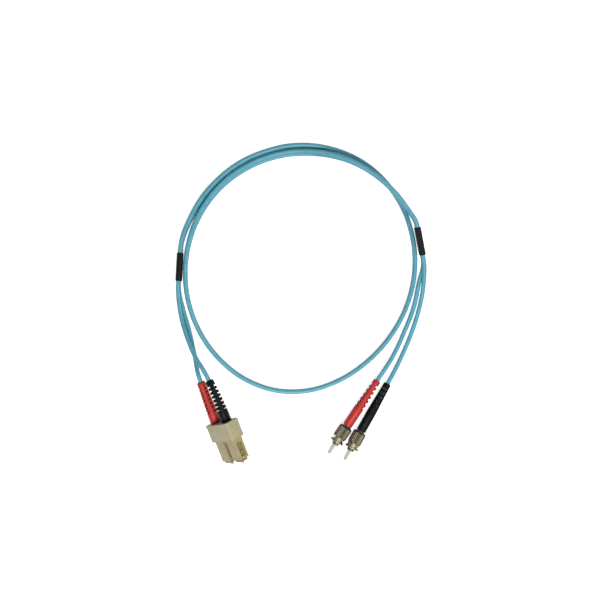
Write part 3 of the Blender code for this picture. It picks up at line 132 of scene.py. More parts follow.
# Bayonet nut: radii of its grooves and ridges, between which shade painted into the grooves fades
# to the plating's colour, front of its knurl, and how much more of its smooth front ring counts as
# ridge, which keeps that ring out of the painted shade
NUT_GROOVE_RADIUS = 4.28 * MM
NUT_RIDGE_RADIUS = 4.52 * MM
KNURL_FRONT = 8.2 * MM
RING_BRIGHTER = 0.3 * MM

# Boots, in millimetres: heights along each plug's axis, from the back of the clip or of the nut
SC_BOOT = {
    "front": 3.7,
    "shoulder": -0.5,
    "collar": 2.8,
    "base": 3.45,
    "taper": -7.0,
    "tail": -28.8,
    "tail_radius": 2.7,
    "ledge": -1.2,
    "pitch": 2.7,
    "slots": 7,
    "bore_step": -7.8,
    "bend_start": -7.5,
    "jacket_end": -5.3,
}
ST_BOOT = {
    "front": -1.1,
    "base": 3.2,
    "taper": -14.8,
    "tail": -36.9,
    "tail_radius": 2.4,
    "ledge": -1.9,
    "pitch": 3.3,
    "slots": 6,
    "bore_step": -13.3,
    "bend_start": -13.0,
    "jacket_end": -10.8,
}
BOOT_TAIL_BORE = 1.75
BOOT_FRONT_BORE = 2.45
SLOT_SHARE = 0.37
HOLE_WIDTH = 1.6
SLOT_LEAN = math.radians(30)
SLOT_HALF_HEIGHT = 1.95
HALF_BRIDGE = 1.2
LOWER_SLOT_TOP = -1.2
SLOT_OVERRUN = 0.5
BOOT_RING_STEPS = 56
BOOT_HEIGHTS = 12
BOOT_AXIS_POINTS = 9
BOOT_FRONT_EDGE = (0.25, 0.3)
BOOT_TAIL_EDGE = ((0.12, 0.2), (0.4, 0.0))
BOOT_TAIL_EDGE_START = 0.6
BOOT_SEAT_BACK = -2.0
BOOT_SEAT_RADIUS = 2.75
BOOT_EDGE = 0.14 * MM
MERGE_DISTANCE = 1e-6
LEAST_BEND = 1e-6

# Rounded edges of the clip and the housings
MOULDED_EDGE = 0.22 * MM
MOULDED_ANGLE = math.radians(50)
BEVEL_SEGMENTS = 2

# Points round and steps along the cords, and the forms of a shrunk sleeve
ZIP_STEP = 3 * MM
ZIP_ARC_POINTS = 18
LEG_STEP = 2.5 * MM
LEG_RING_POINTS = 28
SLEEVE_ARC_POINTS = 15
SLEEVE_RINGS = 25
SLEEVE_INNER_GAP = 0.06 * MM
SLEEVE_TUCK = 2 * MM
SLEEVE_LIP = 0.3 * MM
SLEEVE_LIP_DROP = 0.05 * MM
SLEEVE_BODY_DROP = 0.06 * MM
SLEEVE_PLAIN_END = 0.8 * MM
SLEEVE_RIPPLE = 0.04 * MM
SLEEVE_WAVES = (1.9, 0.7)
SLEEVE_WAIST = 0.12

# Grain and gloss of the materials
BROAD_GRAIN = 12
GLOSS_SPREAD = 0.2
# Nut: dark colour painted into its grooves and bore as shade, and the bright colour of its plating
NUT_PAINTED_SHADE = (22, 19, 15)
NUT_BRIGHT = (158, 147, 120)
NUT_ROUGHNESS = (0.38, 0.5)
NUT_GRAIN = 5000
NUT_BUMP = 0.04
NUT_METALLIC = 0.7

# Table and light: place, size and power of each lamp
FLOOR_HALF = 2.0
FLOOR_GLOW = 0.75
FLOOR_SEEN = 0.9
FLOOR_BOUNCE = 0.25
LAMP_TARGET = (0.0, 0.08, 0.0)
LAMPS = {
    "key": ((0.0, -0.28, 0.55), 0.3, 3.2),
    "fill": ((0.5, 0.3, 0.75), 0.4, 2.6),
}
ROOM_LIGHT = 0.16


# Materials


def linear(red, green, blue):
    """Linear colour of an 8-bit display colour."""
    values = []
    for value in (red, green, blue):
        share = value / 255
        low = share / 12.92
        high = ((share + 0.055) / 1.055) ** 2.4
        values.append(low if share <= 0.04045 else high)
    return (*values, 1.0)


def grey(value):
    return (value, value, value, 1.0)


def new_material(name):
    material = bpy.data.materials.new(name)
    material.use_nodes = True
    tree = material.node_tree
    return material, tree, tree.nodes["Principled BSDF"]


def add_noise(tree, scale, detail):
    """A noise pattern fixed to the model."""
    coordinates = tree.nodes.new("ShaderNodeTexCoord")
    noise = tree.nodes.new("ShaderNodeTexNoise")
    noise.inputs["Scale"].default_value = scale
    noise.inputs["Detail"].default_value = detail
    tree.links.new(coordinates.outputs["Object"], noise.inputs["Vector"])
    return noise


def add_ramp(tree, source, low, high, start=0.3, end=0.7):
    ramp = tree.nodes.new("ShaderNodeValToRGB")
    ramp.color_ramp.elements[0].position = start
    ramp.color_ramp.elements[0].color = low
    ramp.color_ramp.elements[1].position = end
    ramp.color_ramp.elements[1].color = high
    tree.links.new(source, ramp.inputs["Fac"])
    return ramp


def add_bump(tree, shader, source, strength):
    bump = tree.nodes.new("ShaderNodeBump")
    bump.inputs["Strength"].default_value = strength
    bump.inputs["Distance"].default_value = BUMP_DEPTH
    tree.links.new(source, bump.inputs["Height"])
    tree.links.new(bump.outputs["Normal"], shader.inputs["Normal"])


def moulded(name, colour, shade, roughness, grain, bump, metallic=0.0, specular=0.5):
    """A surface whose colour, gloss and fine relief vary with a grain of its own."""
    material, tree, shader = new_material(name)
    broad = add_noise(tree, grain / BROAD_GRAIN, 2.0)
    colours = add_ramp(tree, broad.outputs["Fac"], linear(*shade), linear(*colour))
    tree.links.new(colours.outputs["Color"], shader.inputs["Base Color"])
    fine = add_noise(tree, grain, 4.0)
    smooth = grey(roughness * (1 - GLOSS_SPREAD))
    dull = grey(min(roughness * (1 + GLOSS_SPREAD), 1.0))
    rough = add_ramp(tree, fine.outputs["Fac"], smooth, dull)
    tree.links.new(rough.outputs["Color"], shader.inputs["Roughness"])
    add_bump(tree, shader, fine.outputs["Fac"], bump)
    shader.inputs["Metallic"].default_value = metallic
    shader.inputs["Specular IOR Level"].default_value = specular
    return material


JACKET = moulded("jacket_aqua", (100, 176, 194), (89, 164, 184), 0.42, 2600, 0.10)
SHRINK = moulded("heat_shrink_black", (24, 26, 25), (17, 19, 19), 0.55, 1800, 0.25, 0.0, 0.2)
RED_SOFT = moulded("boot_red", (200, 54, 48), (184, 45, 40), 0.46, 2200, 0.16, 0.0, 0.35)
BLACK_SOFT = moulded("boot_black", (14, 17, 16), (8, 11, 11), 0.5, 2200, 0.16, 0.0, 0.14)
CLIP = moulded("clip_beige", (184, 176, 140), (172, 162, 126), 0.42, 1800, 0.14)
SHELL = moulded("shell_beige", (180, 168, 128), (166, 152, 112), 0.42, 1800, 0.14)
FRAME = moulded("frame_olive", (152, 138, 86), (134, 119, 68), 0.45, 1800, 0.14)
NICKEL = moulded("nickel_warm", (168, 158, 132), (150, 140, 116), 0.26, 6000, 0.03, 1.0)
STEEL = moulded("steel_grey", (186, 186, 188), (168, 168, 171), 0.3, 1500, 0.1, 1.0)
CERAMIC = moulded("zirconia_white", (200, 200, 194), (192, 192, 186), 0.2, 900, 0.02)
BUFFER = moulded("buffer_white", (220, 222, 218), (210, 212, 208), 0.4, 1500, 0.05)


def knurl_with_painted_shade(name, matrix):
    """Plated metal round a plug's axis, with shade painted into its grooves and its bore as a dark
    colour, and the plating's bright colour on its ridges and front ring.
    """
    material, tree, shader = new_material(name)
    coordinates = tree.nodes.new("ShaderNodeTexCoord")
    mapping = tree.nodes.new("ShaderNodeMapping")
    mapping.vector_type = "TEXTURE"
    mapping.inputs["Location"].default_value = matrix.translation
    mapping.inputs["Rotation"].default_value = matrix.to_euler()
    flat = tree.nodes.new("ShaderNodeVectorMath")
    flat.operation = "MULTIPLY"
    flat.inputs[1].default_value = (1.0, 1.0, 0.0)
    radius = tree.nodes.new("ShaderNodeVectorMath")
    radius.operation = "LENGTH"
    share = tree.nodes.new("ShaderNodeMapRange")
    share.inputs["From Min"].default_value = NUT_GROOVE_RADIUS
    share.inputs["From Max"].default_value = NUT_RIDGE_RADIUS
    tree.links.new(coordinates.outputs["Object"], mapping.inputs["Vector"])
    tree.links.new(mapping.outputs["Vector"], flat.inputs[0])
    tree.links.new(flat.outputs["Vector"], radius.inputs[0])
    height = tree.nodes.new("ShaderNodeSeparateXYZ")
    ring = tree.nodes.new("ShaderNodeMath")
    ring.operation = "GREATER_THAN"
    ring.inputs[1].default_value = KNURL_FRONT
    lifted = tree.nodes.new("ShaderNodeMath")
    lifted.operation = "MULTIPLY_ADD"
    lifted.inputs[1].default_value = RING_BRIGHTER
    tree.links.new(mapping.outputs["Vector"], height.inputs["Vector"])
    tree.links.new(height.outputs["Z"], ring.inputs[0])
    tree.links.new(ring.outputs["Value"], lifted.inputs[0])
    tree.links.new(radius.outputs["Value"], lifted.inputs[2])
    tree.links.new(lifted.outputs["Value"], share.inputs["Value"])
    # Painted shade: the grooves and the bore get the dark colour, the ridges and the front ring the
    # plating's
    painted_groove_shade, bright = linear(*NUT_PAINTED_SHADE), linear(*NUT_BRIGHT)
    colours = add_ramp(tree, share.outputs["Result"], painted_groove_shade, bright, 0.0, 1.0)
    tree.links.new(colours.outputs["Color"], shader.inputs["Base Color"])
    fine = add_noise(tree, NUT_GRAIN, 3.0)
    smooth, dull = NUT_ROUGHNESS
    rough = add_ramp(tree, fine.outputs["Fac"], grey(smooth), grey(dull))
    tree.links.new(rough.outputs["Color"], shader.inputs["Roughness"])
    add_bump(tree, shader, fine.outputs["Fac"], NUT_BUMP)
    shader.inputs["Metallic"].default_value = NUT_METALLIC
    return material


def wear(obj, material):
    obj.data.materials.clear()
    obj.data.materials.append(material)


# Meshes


def link(obj):
    bpy.context.scene.collection.objects.link(obj)
    return obj


def piece(name, mesh, material, body, slot, *nodes):
    """A visible piece that rides on a body and stands for CAD nodes."""
    obj = link(bpy.data.objects.new(name, mesh))
    wear(obj, material)
    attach(obj, body)
    if nodes:
        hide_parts(*nodes)
    return obj


def loft(name, rings, caps=True):
    """A skin over rings of equally many points, closed at both ends where it has caps."""
    bm = bmesh.new()
    rows = [[bm.verts.new(tuple(point)) for point in ring] for ring in rings]
    count = len(rows[0])
    for one, other in zip(rows, rows[1:]):
        for i in range(count):
            j = (i + 1) % count
            bm.faces.new((one[i], one[j], other[j], other[i]))
    if caps:
        bm.faces.new(rows[0][::-1])
        bm.faces.new(rows[-1])
    bmesh.ops.recalc_face_normals(bm, faces=bm.faces)
    mesh = bpy.data.meshes.new(name)
    bm.to_mesh(mesh)
    bm.free()
    mesh.shade_smooth()
    mesh.set_sharp_from_angle(angle=SHARP_ANGLE)
    return mesh


def baked(obj):
    """The object's mesh after its modifiers. The object itself goes."""
    bpy.context.view_layer.update()
    graph = bpy.context.evaluated_depsgraph_get()
    mesh = bpy.data.meshes.new_from_object(obj.evaluated_get(graph))
    bpy.data.objects.remove(obj)
    return mesh


def plug_matrix(place, heading, pitch_down=0.0, roll=0.0):
    """A frame whose Z axis leads out of a plug and whose Y axis is up before its roll."""
    forward = Vector(
        (
            math.sin(heading) * math.cos(pitch_down),
            -math.cos(heading) * math.cos(pitch_down),
            -math.sin(pitch_down),
        )
    )
    side = Vector((math.cos(heading), math.sin(heading), 0.0))
    upright = forward.cross(side)
    across = math.cos(roll) * side + math.sin(roll) * upright
    face = math.cos(roll) * upright - math.sin(roll) * side
    turn = Matrix((across, face, forward)).transposed().to_4x4()
    return Matrix.Translation(place - ORIGIN) @ turn


# Camera


def make_camera():
    data = bpy.data.cameras.new("camera")
    camera = link(bpy.data.objects.new("camera", data))
    camera.location = (-ORIGIN.x, -ORIGIN.y, CAMERA_HEIGHT)
    data.sensor_width = SENSOR_WIDTH
    data.lens = SENSOR_WIDTH * CAMERA_HEIGHT / VIEW_WIDTH
    data.clip_start = CAMERA_CLIP_START
    bpy.context.scene.camera = camera


make_camera()


# Cords


def smooth_path(points, step, start_direction, end_direction):
    """Points read from a smooth curve through a route. Values after the third ride along."""
    keys = np.array(points, float)
    chords = np.linalg.norm(np.diff(keys[:, :3], axis=0), axis=1)
    knots = np.concatenate([[0.0], np.cumsum(chords)])
    slopes = np.zeros_like(keys)
    slopes[1:-1] = (keys[2:] - keys[:-2]) / (knots[2:] - knots[:-2])[:, None]
    slopes[0, :3] = start_direction
    slopes[-1, :3] = end_direction
    path = [keys[0]]
    for i, chord in enumerate(chords):
        count = max(1, math.ceil(chord / step))
        for j in range(1, count + 1):
            t = j / count
            path.append(
                keys[i] * (1 + 2 * t) * (1 - t) ** 2
                + slopes[i] * chord * t * (1 - t) ** 2
                + keys[i + 1] * t * t * (3 - 2 * t)
                + slopes[i + 1] * chord * t * t * (t - 1)
            )
    return np.array(path)


def arc(centre, radius, start, end, count):
    angles = np.linspace(start, end, count)
    return [
        (centre[0] + radius * math.cos(a), centre[1] + radius * math.sin(a)) for a in angles
    ]


def resting_height(lean):
    return JACKET_RADIUS + JACKET_SPACING / 2 * math.cos(lean) + FLOOR_GAP


def sleeve_frame(place, heading, slope, lift):
    """A frame whose Z axis leads out of a sleeve's split end and whose Y axis is up."""
    height = resting_height(0.0) + BORE_GAP + SLEEVE_WALL + lift * CROSSING_LIFT
    return plug_matrix(place + Vector((0.0, 0.0, height)), heading, slope)


SC_SLEEVE_FRAME = sleeve_frame(*SC_SLEEVE)
ST_SLEEVE_FRAME = sleeve_frame(*ST_SLEEVE)


def on_sleeve(matrix, along, side=0.0):
    return matrix @ Vector((0.0, side, along))


def zip_path():
    """The zip cord's middle line, with its lean, from inside one sleeve to inside the other."""
    outside = -SLEEVE_LENGTH / 2 - JACKET_RADIUS
    keys = [(*on_sleeve(SC_SLEEVE_FRAME, outside), 0.0)]
    for degrees, radius, share, lean in ZIP_ROUTE:
        angle, lean = math.radians(degrees), math.radians(lean)
        place = LOOP_CENTRE + Vector((math.cos(angle), math.sin(angle), 0.0)) * (radius * MM)
        place -= ORIGIN
        height = resting_height(lean) + share * CROSSING_LIFT
        keys.append((place.x, place.y, height, lean))
    keys.append((*on_sleeve(ST_SLEEVE_FRAME, outside), 0.0))
    away = -(SC_SLEEVE_FRAME.to_3x3() @ Vector((0, 0, 1)))
    into = ST_SLEEVE_FRAME.to_3x3() @ Vector((0, 0, 1))
    path = smooth_path(keys, ZIP_STEP, away, into)
    first = [(*on_sleeve(SC_SLEEVE_FRAME, 0.0), 0.0)]
    last = [(*on_sleeve(ST_SLEEVE_FRAME, 0.0), 0.0)]
    return np.vstack([first, path, last])


def zip_section():
    """Twin jackets with a web between them."""
    half_spacing, half_web = JACKET_SPACING / 2, WEB_THICKNESS / 2
    throat = math.acos(half_web / JACKET_RADIUS)
    end = math.pi + throat
    upper = arc((0.0, half_spacing), JACKET_RADIUS, -throat, end, ZIP_ARC_POINTS)
    return upper + [(-x, -y) for x, y in upper]


def sweep_axes(line):
    """Directions across a line and up from it, at each of its points."""
    ahead = np.gradient(line, axis=0)
    ahead /= np.linalg.norm(ahead, axis=1)[:, None]
    across = np.cross(UP, ahead)
    across /= np.linalg.norm(across, axis=1)[:, None]
    return across, np.cross(ahead, across)


def make_zipcord():
    path = zip_path()
    across, upright = sweep_axes(path[:, :3])
    lean = path[:, 3][:, None]
    up = np.cos(lean) * upright + np.sin(lean) * across
    side = np.cos(lean) * across - np.sin(lean) * upright
    section = zip_section()
    rings = []
    for place, u, s in zip(path[:, :3], up, side):
        rings.append([place + x * s + y * u for x, y in section])
    obj = piece("zipcord", loft("zipcord", rings), JACKET, ROOT, "aqua_jacket", "zipcord_loop")


def bent_axis(distance, length, bend):
    """Offset towards +X, travel and turn of an axis that bends evenly over a length."""
    distance = max(distance, 0.0)
    if abs(bend) < LEAST_BEND:
        return 0.0, distance, 0.0
    turn_here = bend * min(distance, length) / length
    radius = length / bend
    beyond = max(distance - length, 0.0)
    offset = radius * (1 - math.cos(turn_here)) + beyond * math.sin(turn_here)
    travel = radius * math.sin(turn_here) + beyond * math.cos(turn_here)
    return offset, travel, turn_here


def boot_axis_points(matrix, boot, bend):
    """Points on a boot's axis from behind its tail to the end of the jacket."""
    start, tail = boot["bend_start"], boot["tail"]
    heights = [tail - 2 * JACKET_RADIUS / MM]
    heights += list(np.linspace(tail, start, BOOT_AXIS_POINTS))
    heights.append(boot["jacket_end"])
    points = []
    for height in heights:
        offset, travel, _ = bent_axis(start - height, start - tail, bend)
        along = start - travel if height < start else height
        points.append(matrix @ (Vector((offset, 0.0, along)) * MM))
    return points


def make_leg(name, sleeve, level, route, matrix, boot, bend):
    """One jacket from the split to the crimp in its boot."""
    side = level * JACKET_SPACING / 2
    start = on_sleeve(sleeve, SEAT_GAP, side)
    mouth = on_sleeve(sleeve, SLEEVE_LENGTH / 2 + 2 * JACKET_RADIUS, side)
    into_boot = boot_axis_points(matrix, boot, bend)
    keys = [tuple(mouth)]
    keys += [tuple(Vector(point) * MM - ORIGIN) for point in route]
    keys.append(tuple(into_boot[0]))
    out = sleeve.to_3x3() @ Vector((0, 0, 1))
    into = (into_boot[1] - into_boot[0]).normalized()
    path = [tuple(start)]
    path += [tuple(point) for point in smooth_path(keys, LEG_STEP, out, into)]
    path += [tuple(point) for point in into_boot[1:]]
    line = np.array(path)
    across, upright = sweep_axes(line)
    section = arc((0, 0), JACKET_RADIUS, 0, math.tau, LEG_RING_POINTS + 1)[:-1]
    rings = []
    for place, u, s in zip(line, upright, across):
        rings.append([place + x * s + y * u for x, y in section])
    obj = piece(name + "_jacket", loft(name, rings), JACKET, ROOT, "aqua_jacket", name)


SC_MATRIX = plug_matrix(SC_PLACE, SC_HEADING, SC_PITCH_DOWN, SC_ROLL)
SC_RED = SC_MATRIX @ Matrix.Translation((-SC_PITCH / 2, 0.0, 0.0))
SC_BLACK = SC_MATRIX @ Matrix.Translation((SC_PITCH / 2, 0.0, 0.0))
RISE = Vector((0.0, 0.0, ST_AXIS_HEIGHT))
ST_RED = plug_matrix(ST_RED_PLACE + RISE, ST_RED_HEADING)
ST_BLACK = plug_matrix(ST_BLACK_PLACE + RISE, ST_BLACK_HEADING)
SC_RED_BEND = math.radians(4.0)
SC_BLACK_BEND = math.radians(-9.0)

make_zipcord()
make_leg("sc_red_leg", SC_SLEEVE_FRAME, -1, SC_RED_ROUTE, SC_RED, SC_BOOT, SC_RED_BEND)
make_leg("sc_black_leg", SC_SLEEVE_FRAME, 1, SC_BLACK_ROUTE, SC_BLACK, SC_BOOT, SC_BLACK_BEND)
make_leg("st_red_leg", ST_SLEEVE_FRAME, -1, ST_RED_ROUTE, ST_RED, ST_BOOT, 0.0)
make_leg("st_black_leg", ST_SLEEVE_FRAME, 1, ST_BLACK_ROUTE, ST_BLACK, ST_BOOT, 0.0)


# Heat-shrink sleeves


def shrunk_section(radius):
    """An outline round both jackets that is drawn in between them."""
    upper = arc((0.0, JACKET_SPACING / 2), radius, 0.0, math.pi, SLEEVE_ARC_POINTS)
    section = upper + [(-x, -y) for x, y in upper]
    drawn = []
    for x, y in section:
        share = max(0.0, 1 - (2 * y / JACKET_SPACING) ** 2)
        drawn.append((x * (1 - SLEEVE_WAIST * share), y))
    return drawn


def make_sleeve(name, matrix):
    """A shrunk tube: drawn in between the jackets, lipped at its ends and faintly rippled."""
    inner = JACKET_RADIUS + SLEEVE_INNER_GAP
    outer = JACKET_RADIUS + BORE_GAP + SLEEVE_WALL
    half = SLEEVE_LENGTH / 2
    stations = [(-half + SLEEVE_TUCK, inner), (-half, inner), (-half, outer - SLEEVE_LIP)]
    stations += [(-half + SLEEVE_LIP, outer - SLEEVE_LIP_DROP)]
    plain_end = half - SLEEVE_PLAIN_END
    quick, slow = SLEEVE_WAVES
    for along in np.linspace(-plain_end, plain_end, SLEEVE_RINGS):
        ripple = SLEEVE_RIPPLE * math.sin(along / MM * quick) * math.sin(along / MM * slow + 1)
        stations.append((along, outer - SLEEVE_BODY_DROP + ripple))
    stations += [(half - SLEEVE_LIP, outer - SLEEVE_LIP_DROP), (half, outer - SLEEVE_LIP)]
    stations += [(half, inner), (half - SLEEVE_TUCK, inner)]
    rings = []
    for along, radius in stations:
        section = shrunk_section(radius)
        rings.append([matrix @ Vector((x, y, along)) for x, y in section])
    mesh = loft(name, rings, caps=False)
    piece(name + "_shrunk", mesh, SHRINK, ROOT, "black_heat_shrink", name)


make_sleeve("sc_split_sleeve", SC_SLEEVE_FRAME)
make_sleeve("st_split_sleeve", ST_SLEEVE_FRAME)


# Boots


def boot_radius(height, boot):
    share = min(max((boot["taper"] - height) / (boot["taper"] - boot["tail"]), 0.0), 1.0)
    return boot["base"] + (boot["tail_radius"] - boot["base"]) * share


def boot_outline(boot):
    """Outline of a boot, down its outer side from the front and back up its bore."""
    outline = []
    front = boot["front"]
    if "collar" in boot:
        outline += [(boot["collar"], front), (boot["collar"], boot["shoulder"])]
        front = boot["shoulder"]
    in_from_side, down = BOOT_FRONT_EDGE
    outline += [(boot["base"] - in_from_side, front), (boot["base"], front - down)]
    heights = np.linspace(boot["taper"], boot["tail"] + BOOT_TAIL_EDGE_START, BOOT_HEIGHTS)
    outline += [(boot_radius(height, boot), height) for height in heights]
    outline += [(boot["tail_radius"] - x, boot["tail"] + z) for x, z in BOOT_TAIL_EDGE]
    heights = np.linspace(boot["tail"], boot["bore_step"], BOOT_HEIGHTS)
    outline += [(BOOT_TAIL_BORE, height) for height in heights]
    outline += [(BOOT_FRONT_BORE, boot["bore_step"])]
    if "collar" in boot:
        return outline + [(BOOT_FRONT_BORE, boot["front"])]
    outline += [(BOOT_FRONT_BORE, BOOT_SEAT_BACK), (BOOT_SEAT_RADIUS, BOOT_SEAT_BACK)]
    return outline + [(BOOT_SEAT_RADIUS, boot["front"])]


def slot_places(boot, turn):
    """The middle of each slot, the radius to cut past there, and a slot's length."""
    for i in range(boot["slots"]):
        middle = boot["taper"] - boot["pitch"] * (i + 0.5)
        place = Matrix.Rotation(turn, 4, "Z") @ Matrix.Translation((0, 0, middle * MM))
        yield place, boot_radius(middle, boot) + SLOT_OVERRUN, SLOT_SHARE * boot["pitch"]


def add_block(bm, matrix, *size):
    size = Vector(size) * MM
    bmesh.ops.create_cube(bm, size=1.0, matrix=matrix @ Matrix.Diagonal((*size, 1.0)))


def bridged_slots(boot, turn):
    """Blocks for slots open to both sides, with a bridge above and below the cord."""
    through, sides = bmesh.new(), bmesh.new()
    for place, reach, length in slot_places(boot, turn):
        add_block(through, place, 2 * reach, 2 * SLOT_HALF_HEIGHT, length)
        for side in (-1, 1):
            offset = Matrix.Translation((side * (reach + HALF_BRIDGE) / 2 * MM, 0, 0))
            add_block(sides, place @ offset, reach - HALF_BRIDGE, 2 * reach, length)
    return through, sides


def staggered_slots(boot, turn):
    """Blocks for bridged slots whose lower parts lie half a pitch behind the upper ones."""
    through, sides = bmesh.new(), bmesh.new()
    behind = Matrix.Translation((0, 0, -boot["pitch"] / 2 * MM))
    for place, reach, length in slot_places(boot, turn):
        upper = (place, boot["ledge"], SLOT_HALF_HEIGHT, reach)
        lower = (place @ behind, LOWER_SLOT_TOP, -SLOT_HALF_HEIGHT, -reach)
        for level, start, core, edge in (upper, lower):
            middle = Matrix.Translation((0, (core + start) / 2 * MM, 0))
            add_block(through, level @ middle, 2 * reach, abs(core - start), length)
            for side in (-1, 1):
                across = side * (reach + HALF_BRIDGE) / 2 * MM
                offset = Matrix.Translation((across, (edge + start) / 2 * MM, 0))
                add_block(sides, level @ offset, reach - HALF_BRIDGE, abs(edge - start), length)
    return through, sides


def crossed_slots(boot, turn):
    """Blocks for two slots that lean to either side of the turn."""
    cutters = []
    for lean in (-SLOT_LEAN, SLOT_LEAN):
        bm = bmesh.new()
        for place, reach, length in slot_places(boot, turn + lean):
            add_block(bm, place, 2 * reach, HOLE_WIDTH, length)
        cutters.append(bm)
    return cutters


def make_boot(name, matrix, boot, slots, turn, bend, material, slot):
    points = [(radius * MM, 0.0, height * MM) for radius, height in boot_outline(boot)]
    outline = bpy.data.meshes.new(name)
    edges = [(i, (i + 1) % len(points)) for i in range(len(points))]
    outline.from_pydata(points, edges, [])
    obj = link(bpy.data.objects.new(name + "_soft", outline))
    screw = obj.modifiers.new("turn", "SCREW")
    screw.axis = "Z"
    screw.steps = screw.render_steps = BOOT_RING_STEPS
    screw.use_merge_vertices = True
    screw.merge_threshold = MERGE_DISTANCE
    cutters = []
    for bm in slots(boot, turn):
        block = bpy.data.meshes.new("slots")
        bm.to_mesh(block)
        bm.free()
        cutter = link(bpy.data.objects.new("slots", block))
        cut = obj.modifiers.new("slots", "BOOLEAN")
        cut.object = cutter
        cut.solver = "EXACT"
        cutters.append(cutter)
    bevel = obj.modifiers.new("soft_edges", "BEVEL")
    bevel.width = BOOT_EDGE
    bevel.segments = BEVEL_SEGMENTS
    bevel.limit_method = "ANGLE"
    bevel.angle_limit = SHARP_ANGLE
    mesh = baked(obj)
    for cutter in cutters:
        bpy.data.objects.remove(cutter)
    start = boot["bend_start"] * MM
    for vertex in mesh.vertices:
        x, y, z = vertex.co
        if z < start:
            length = start - boot["tail"] * MM
            offset, travel, turned = bent_axis(start - z, length, bend)
            vertex.co = (
                offset + x * math.cos(turned),
                y,
                start - travel + x * math.sin(turned),
            )
    mesh.transform(matrix)
    mesh.shade_smooth()
    mesh.set_sharp_from_angle(angle=SHARP_ANGLE)
    piece(name + "_soft", mesh, material, ROOT, slot, name)


RED = (RED_SOFT, "red_boot")
BLACK = (BLACK_SOFT, "black_boot")
SC_RED_TURN = math.radians(-52)
SC_BLACK_TURN = math.radians(-67)
ST_BLACK_TURN = math.radians(90)
make_boot("sc_red_boot", SC_RED, SC_BOOT, staggered_slots, SC_RED_TURN, SC_RED_BEND, *RED)
make_boot("sc_black_boot", SC_BLACK, SC_BOOT, bridged_slots, SC_BLACK_TURN, SC_BLACK_BEND, *BLACK)
make_boot("st_red_boot", ST_RED, ST_BOOT, staggered_slots, 0.0, 0.0, *RED)
make_boot("st_black_boot", ST_BLACK, ST_BOOT, crossed_slots, ST_BLACK_TURN, 0.0, *BLACK)


# Springs inside the plugs, in millimetres: heights along each plug's axis, and the end that stays
# where it is
SC_SPRING = {"back": 12.9, "front": 18.5, "radius": 1.625, "wire": 0.4, "turns": 5, "held": "back"}
ST_SPRING = {"back": 2.7, "front": 7.6, "radius": 3.1, "wire": 0.5, "turns": 4, "held": "front"}
SPRING_RINGS = 24
WIRE_POINTS = 12


def make_spring(name, matrix, spring):
    """A helix of wire between the back and front ends of a spring."""
    radius, half_wire = spring["radius"], spring["wire"] / 2
    low, high = spring["back"] + half_wire, spring["front"] - half_wire
    rise = (high - low) / (math.tau * spring["turns"])
    wire = arc((0, 0), half_wire, 0, math.tau, WIRE_POINTS + 1)[:-1]
    rings = []
    for i in range(spring["turns"] * SPRING_RINGS + 1):
        angle = math.tau * i / SPRING_RINGS
        outward = Vector((math.cos(angle), math.sin(angle), 0.0))
        ahead = Vector((-radius * outward.y, radius * outward.x, rise)).normalized()
        across = ahead.cross(outward)
        middle = outward * radius + Vector((0.0, 0.0, low + rise * angle))
        rings.append([matrix @ ((middle + outward * x + across * y) * MM) for x, y in wire])
    obj = piece(name + "_coil", loft(name, rings), STEEL, ROOT, "spring_steel", name)
    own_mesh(obj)


make_spring("sc_red_spring", SC_RED, SC_SPRING)
make_spring("sc_black_spring", SC_BLACK, SC_SPRING)
make_spring("st_red_spring", ST_RED, ST_SPRING)
make_spring("st_black_spring", ST_BLACK, ST_SPRING)


# Materials of the CAD nodes that stay


def node_material(name):
    ends = (
        ("_clip", CLIP),
        ("_housing", SHELL),
        ("_plug_frame", FRAME),
        ("_ferrule", CERAMIC),
        ("_fibre", BUFFER),
        ("_washer", STEEL),
        ("_ring", STEEL),
        ("", NICKEL),
    )
    return next(material for end, material in ends if name.endswith(end))


for name, node in NODES.items():
    if not node.hide_render:
        wear(node, node_material(name))
for name in ("sc_duplex_clip", "sc_red_housing", "sc_black_housing"):
    edges = NODES[name].modifiers.new("moulded_edges", "BEVEL")
    edges.width = MOULDED_EDGE
    edges.segments = BEVEL_SEGMENTS
    edges.limit_method = "ANGLE"
    edges.angle_limit = MOULDED_ANGLE
# The bayonet nuts: plating with shade painted into their grooves and bores
wear(NODES["st_red_nut"], knurl_with_painted_shade("nut_red_plug_painted_shade", ST_RED))
wear(NODES["st_black_nut"], knurl_with_painted_shade("nut_black_plug_painted_shade", ST_BLACK))


# Table and light


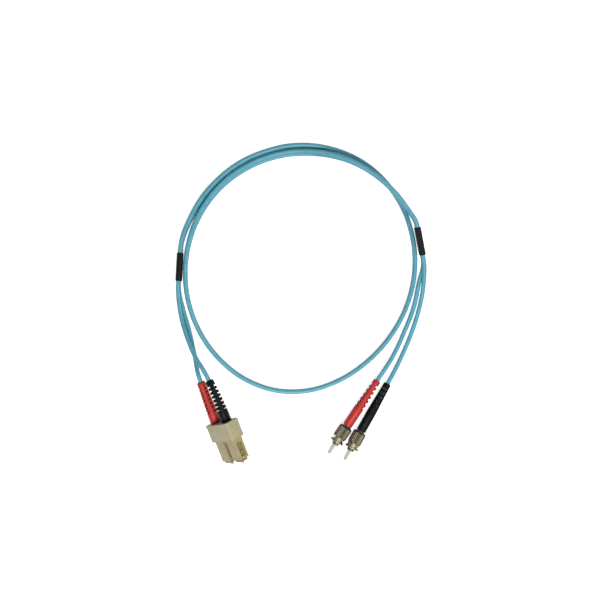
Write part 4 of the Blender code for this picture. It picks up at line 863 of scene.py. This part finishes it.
def make_floor():
    mesh = bpy.data.meshes.new("table")
    half = FLOOR_HALF
    corners = [(-half, -half, 0), (half, -half, 0), (half, half, 0), (-half, half, 0)]
    mesh.from_pydata(corners, [], [(0, 1, 2, 3)])
    floor = link(bpy.data.objects.new("table", mesh))
    material, tree, shader = new_material("table_white")
    shader.inputs["Base Color"].default_value = grey(FLOOR_BOUNCE)
    shader.inputs["Roughness"].default_value = 0.9
    shader.inputs["Specular IOR Level"].default_value = 0.1
    white = tree.nodes.new("ShaderNodeBsdfDiffuse")
    white.inputs["Color"].default_value = grey(FLOOR_SEEN)
    glow = tree.nodes.new("ShaderNodeEmission")
    glow.inputs["Strength"].default_value = FLOOR_GLOW
    bright = tree.nodes.new("ShaderNodeAddShader")
    path = tree.nodes.new("ShaderNodeLightPath")
    seen = tree.nodes.new("ShaderNodeMixShader")
    output = tree.nodes["Material Output"]
    tree.links.new(white.outputs["BSDF"], bright.inputs[0])
    tree.links.new(glow.outputs["Emission"], bright.inputs[1])
    total = path.outputs["Is Camera Ray"]
    for ray in ("Is Glossy Ray", "Is Transmission Ray"):
        either = tree.nodes.new("ShaderNodeMath")
        either.operation = "MAXIMUM"
        tree.links.new(total, either.inputs[0])
        tree.links.new(path.outputs[ray], either.inputs[1])
        total = either.outputs["Value"]
    tree.links.new(total, seen.inputs["Fac"])
    tree.links.new(shader.outputs["BSDF"], seen.inputs[1])
    tree.links.new(bright.outputs["Shader"], seen.inputs[2])
    tree.links.new(seen.outputs["Shader"], output.inputs["Surface"])
    wear(floor, material)


def make_lamp(name, place, size, power):
    data = bpy.data.lights.new(name, "AREA")
    data.shape = "SQUARE"
    data.size = size
    data.energy = power
    lamp = link(bpy.data.objects.new(name, data))
    lamp.location = place
    aim = Vector(LAMP_TARGET) - Vector(place)
    lamp.rotation_euler = aim.to_track_quat("-Z", "Y").to_euler()


def make_light():
    for name, (place, size, power) in LAMPS.items():
        make_lamp(name, place, size, power)
    world = bpy.data.worlds.new("room")
    world.use_nodes = True
    back = world.node_tree.nodes["Background"]
    back.inputs["Color"].default_value = grey(1.0)
    back.inputs["Strength"].default_value = ROOM_LIGHT
    bpy.context.scene.world = world


make_floor()
make_light()
bpy.context.scene.view_settings.view_transform = "Standard"
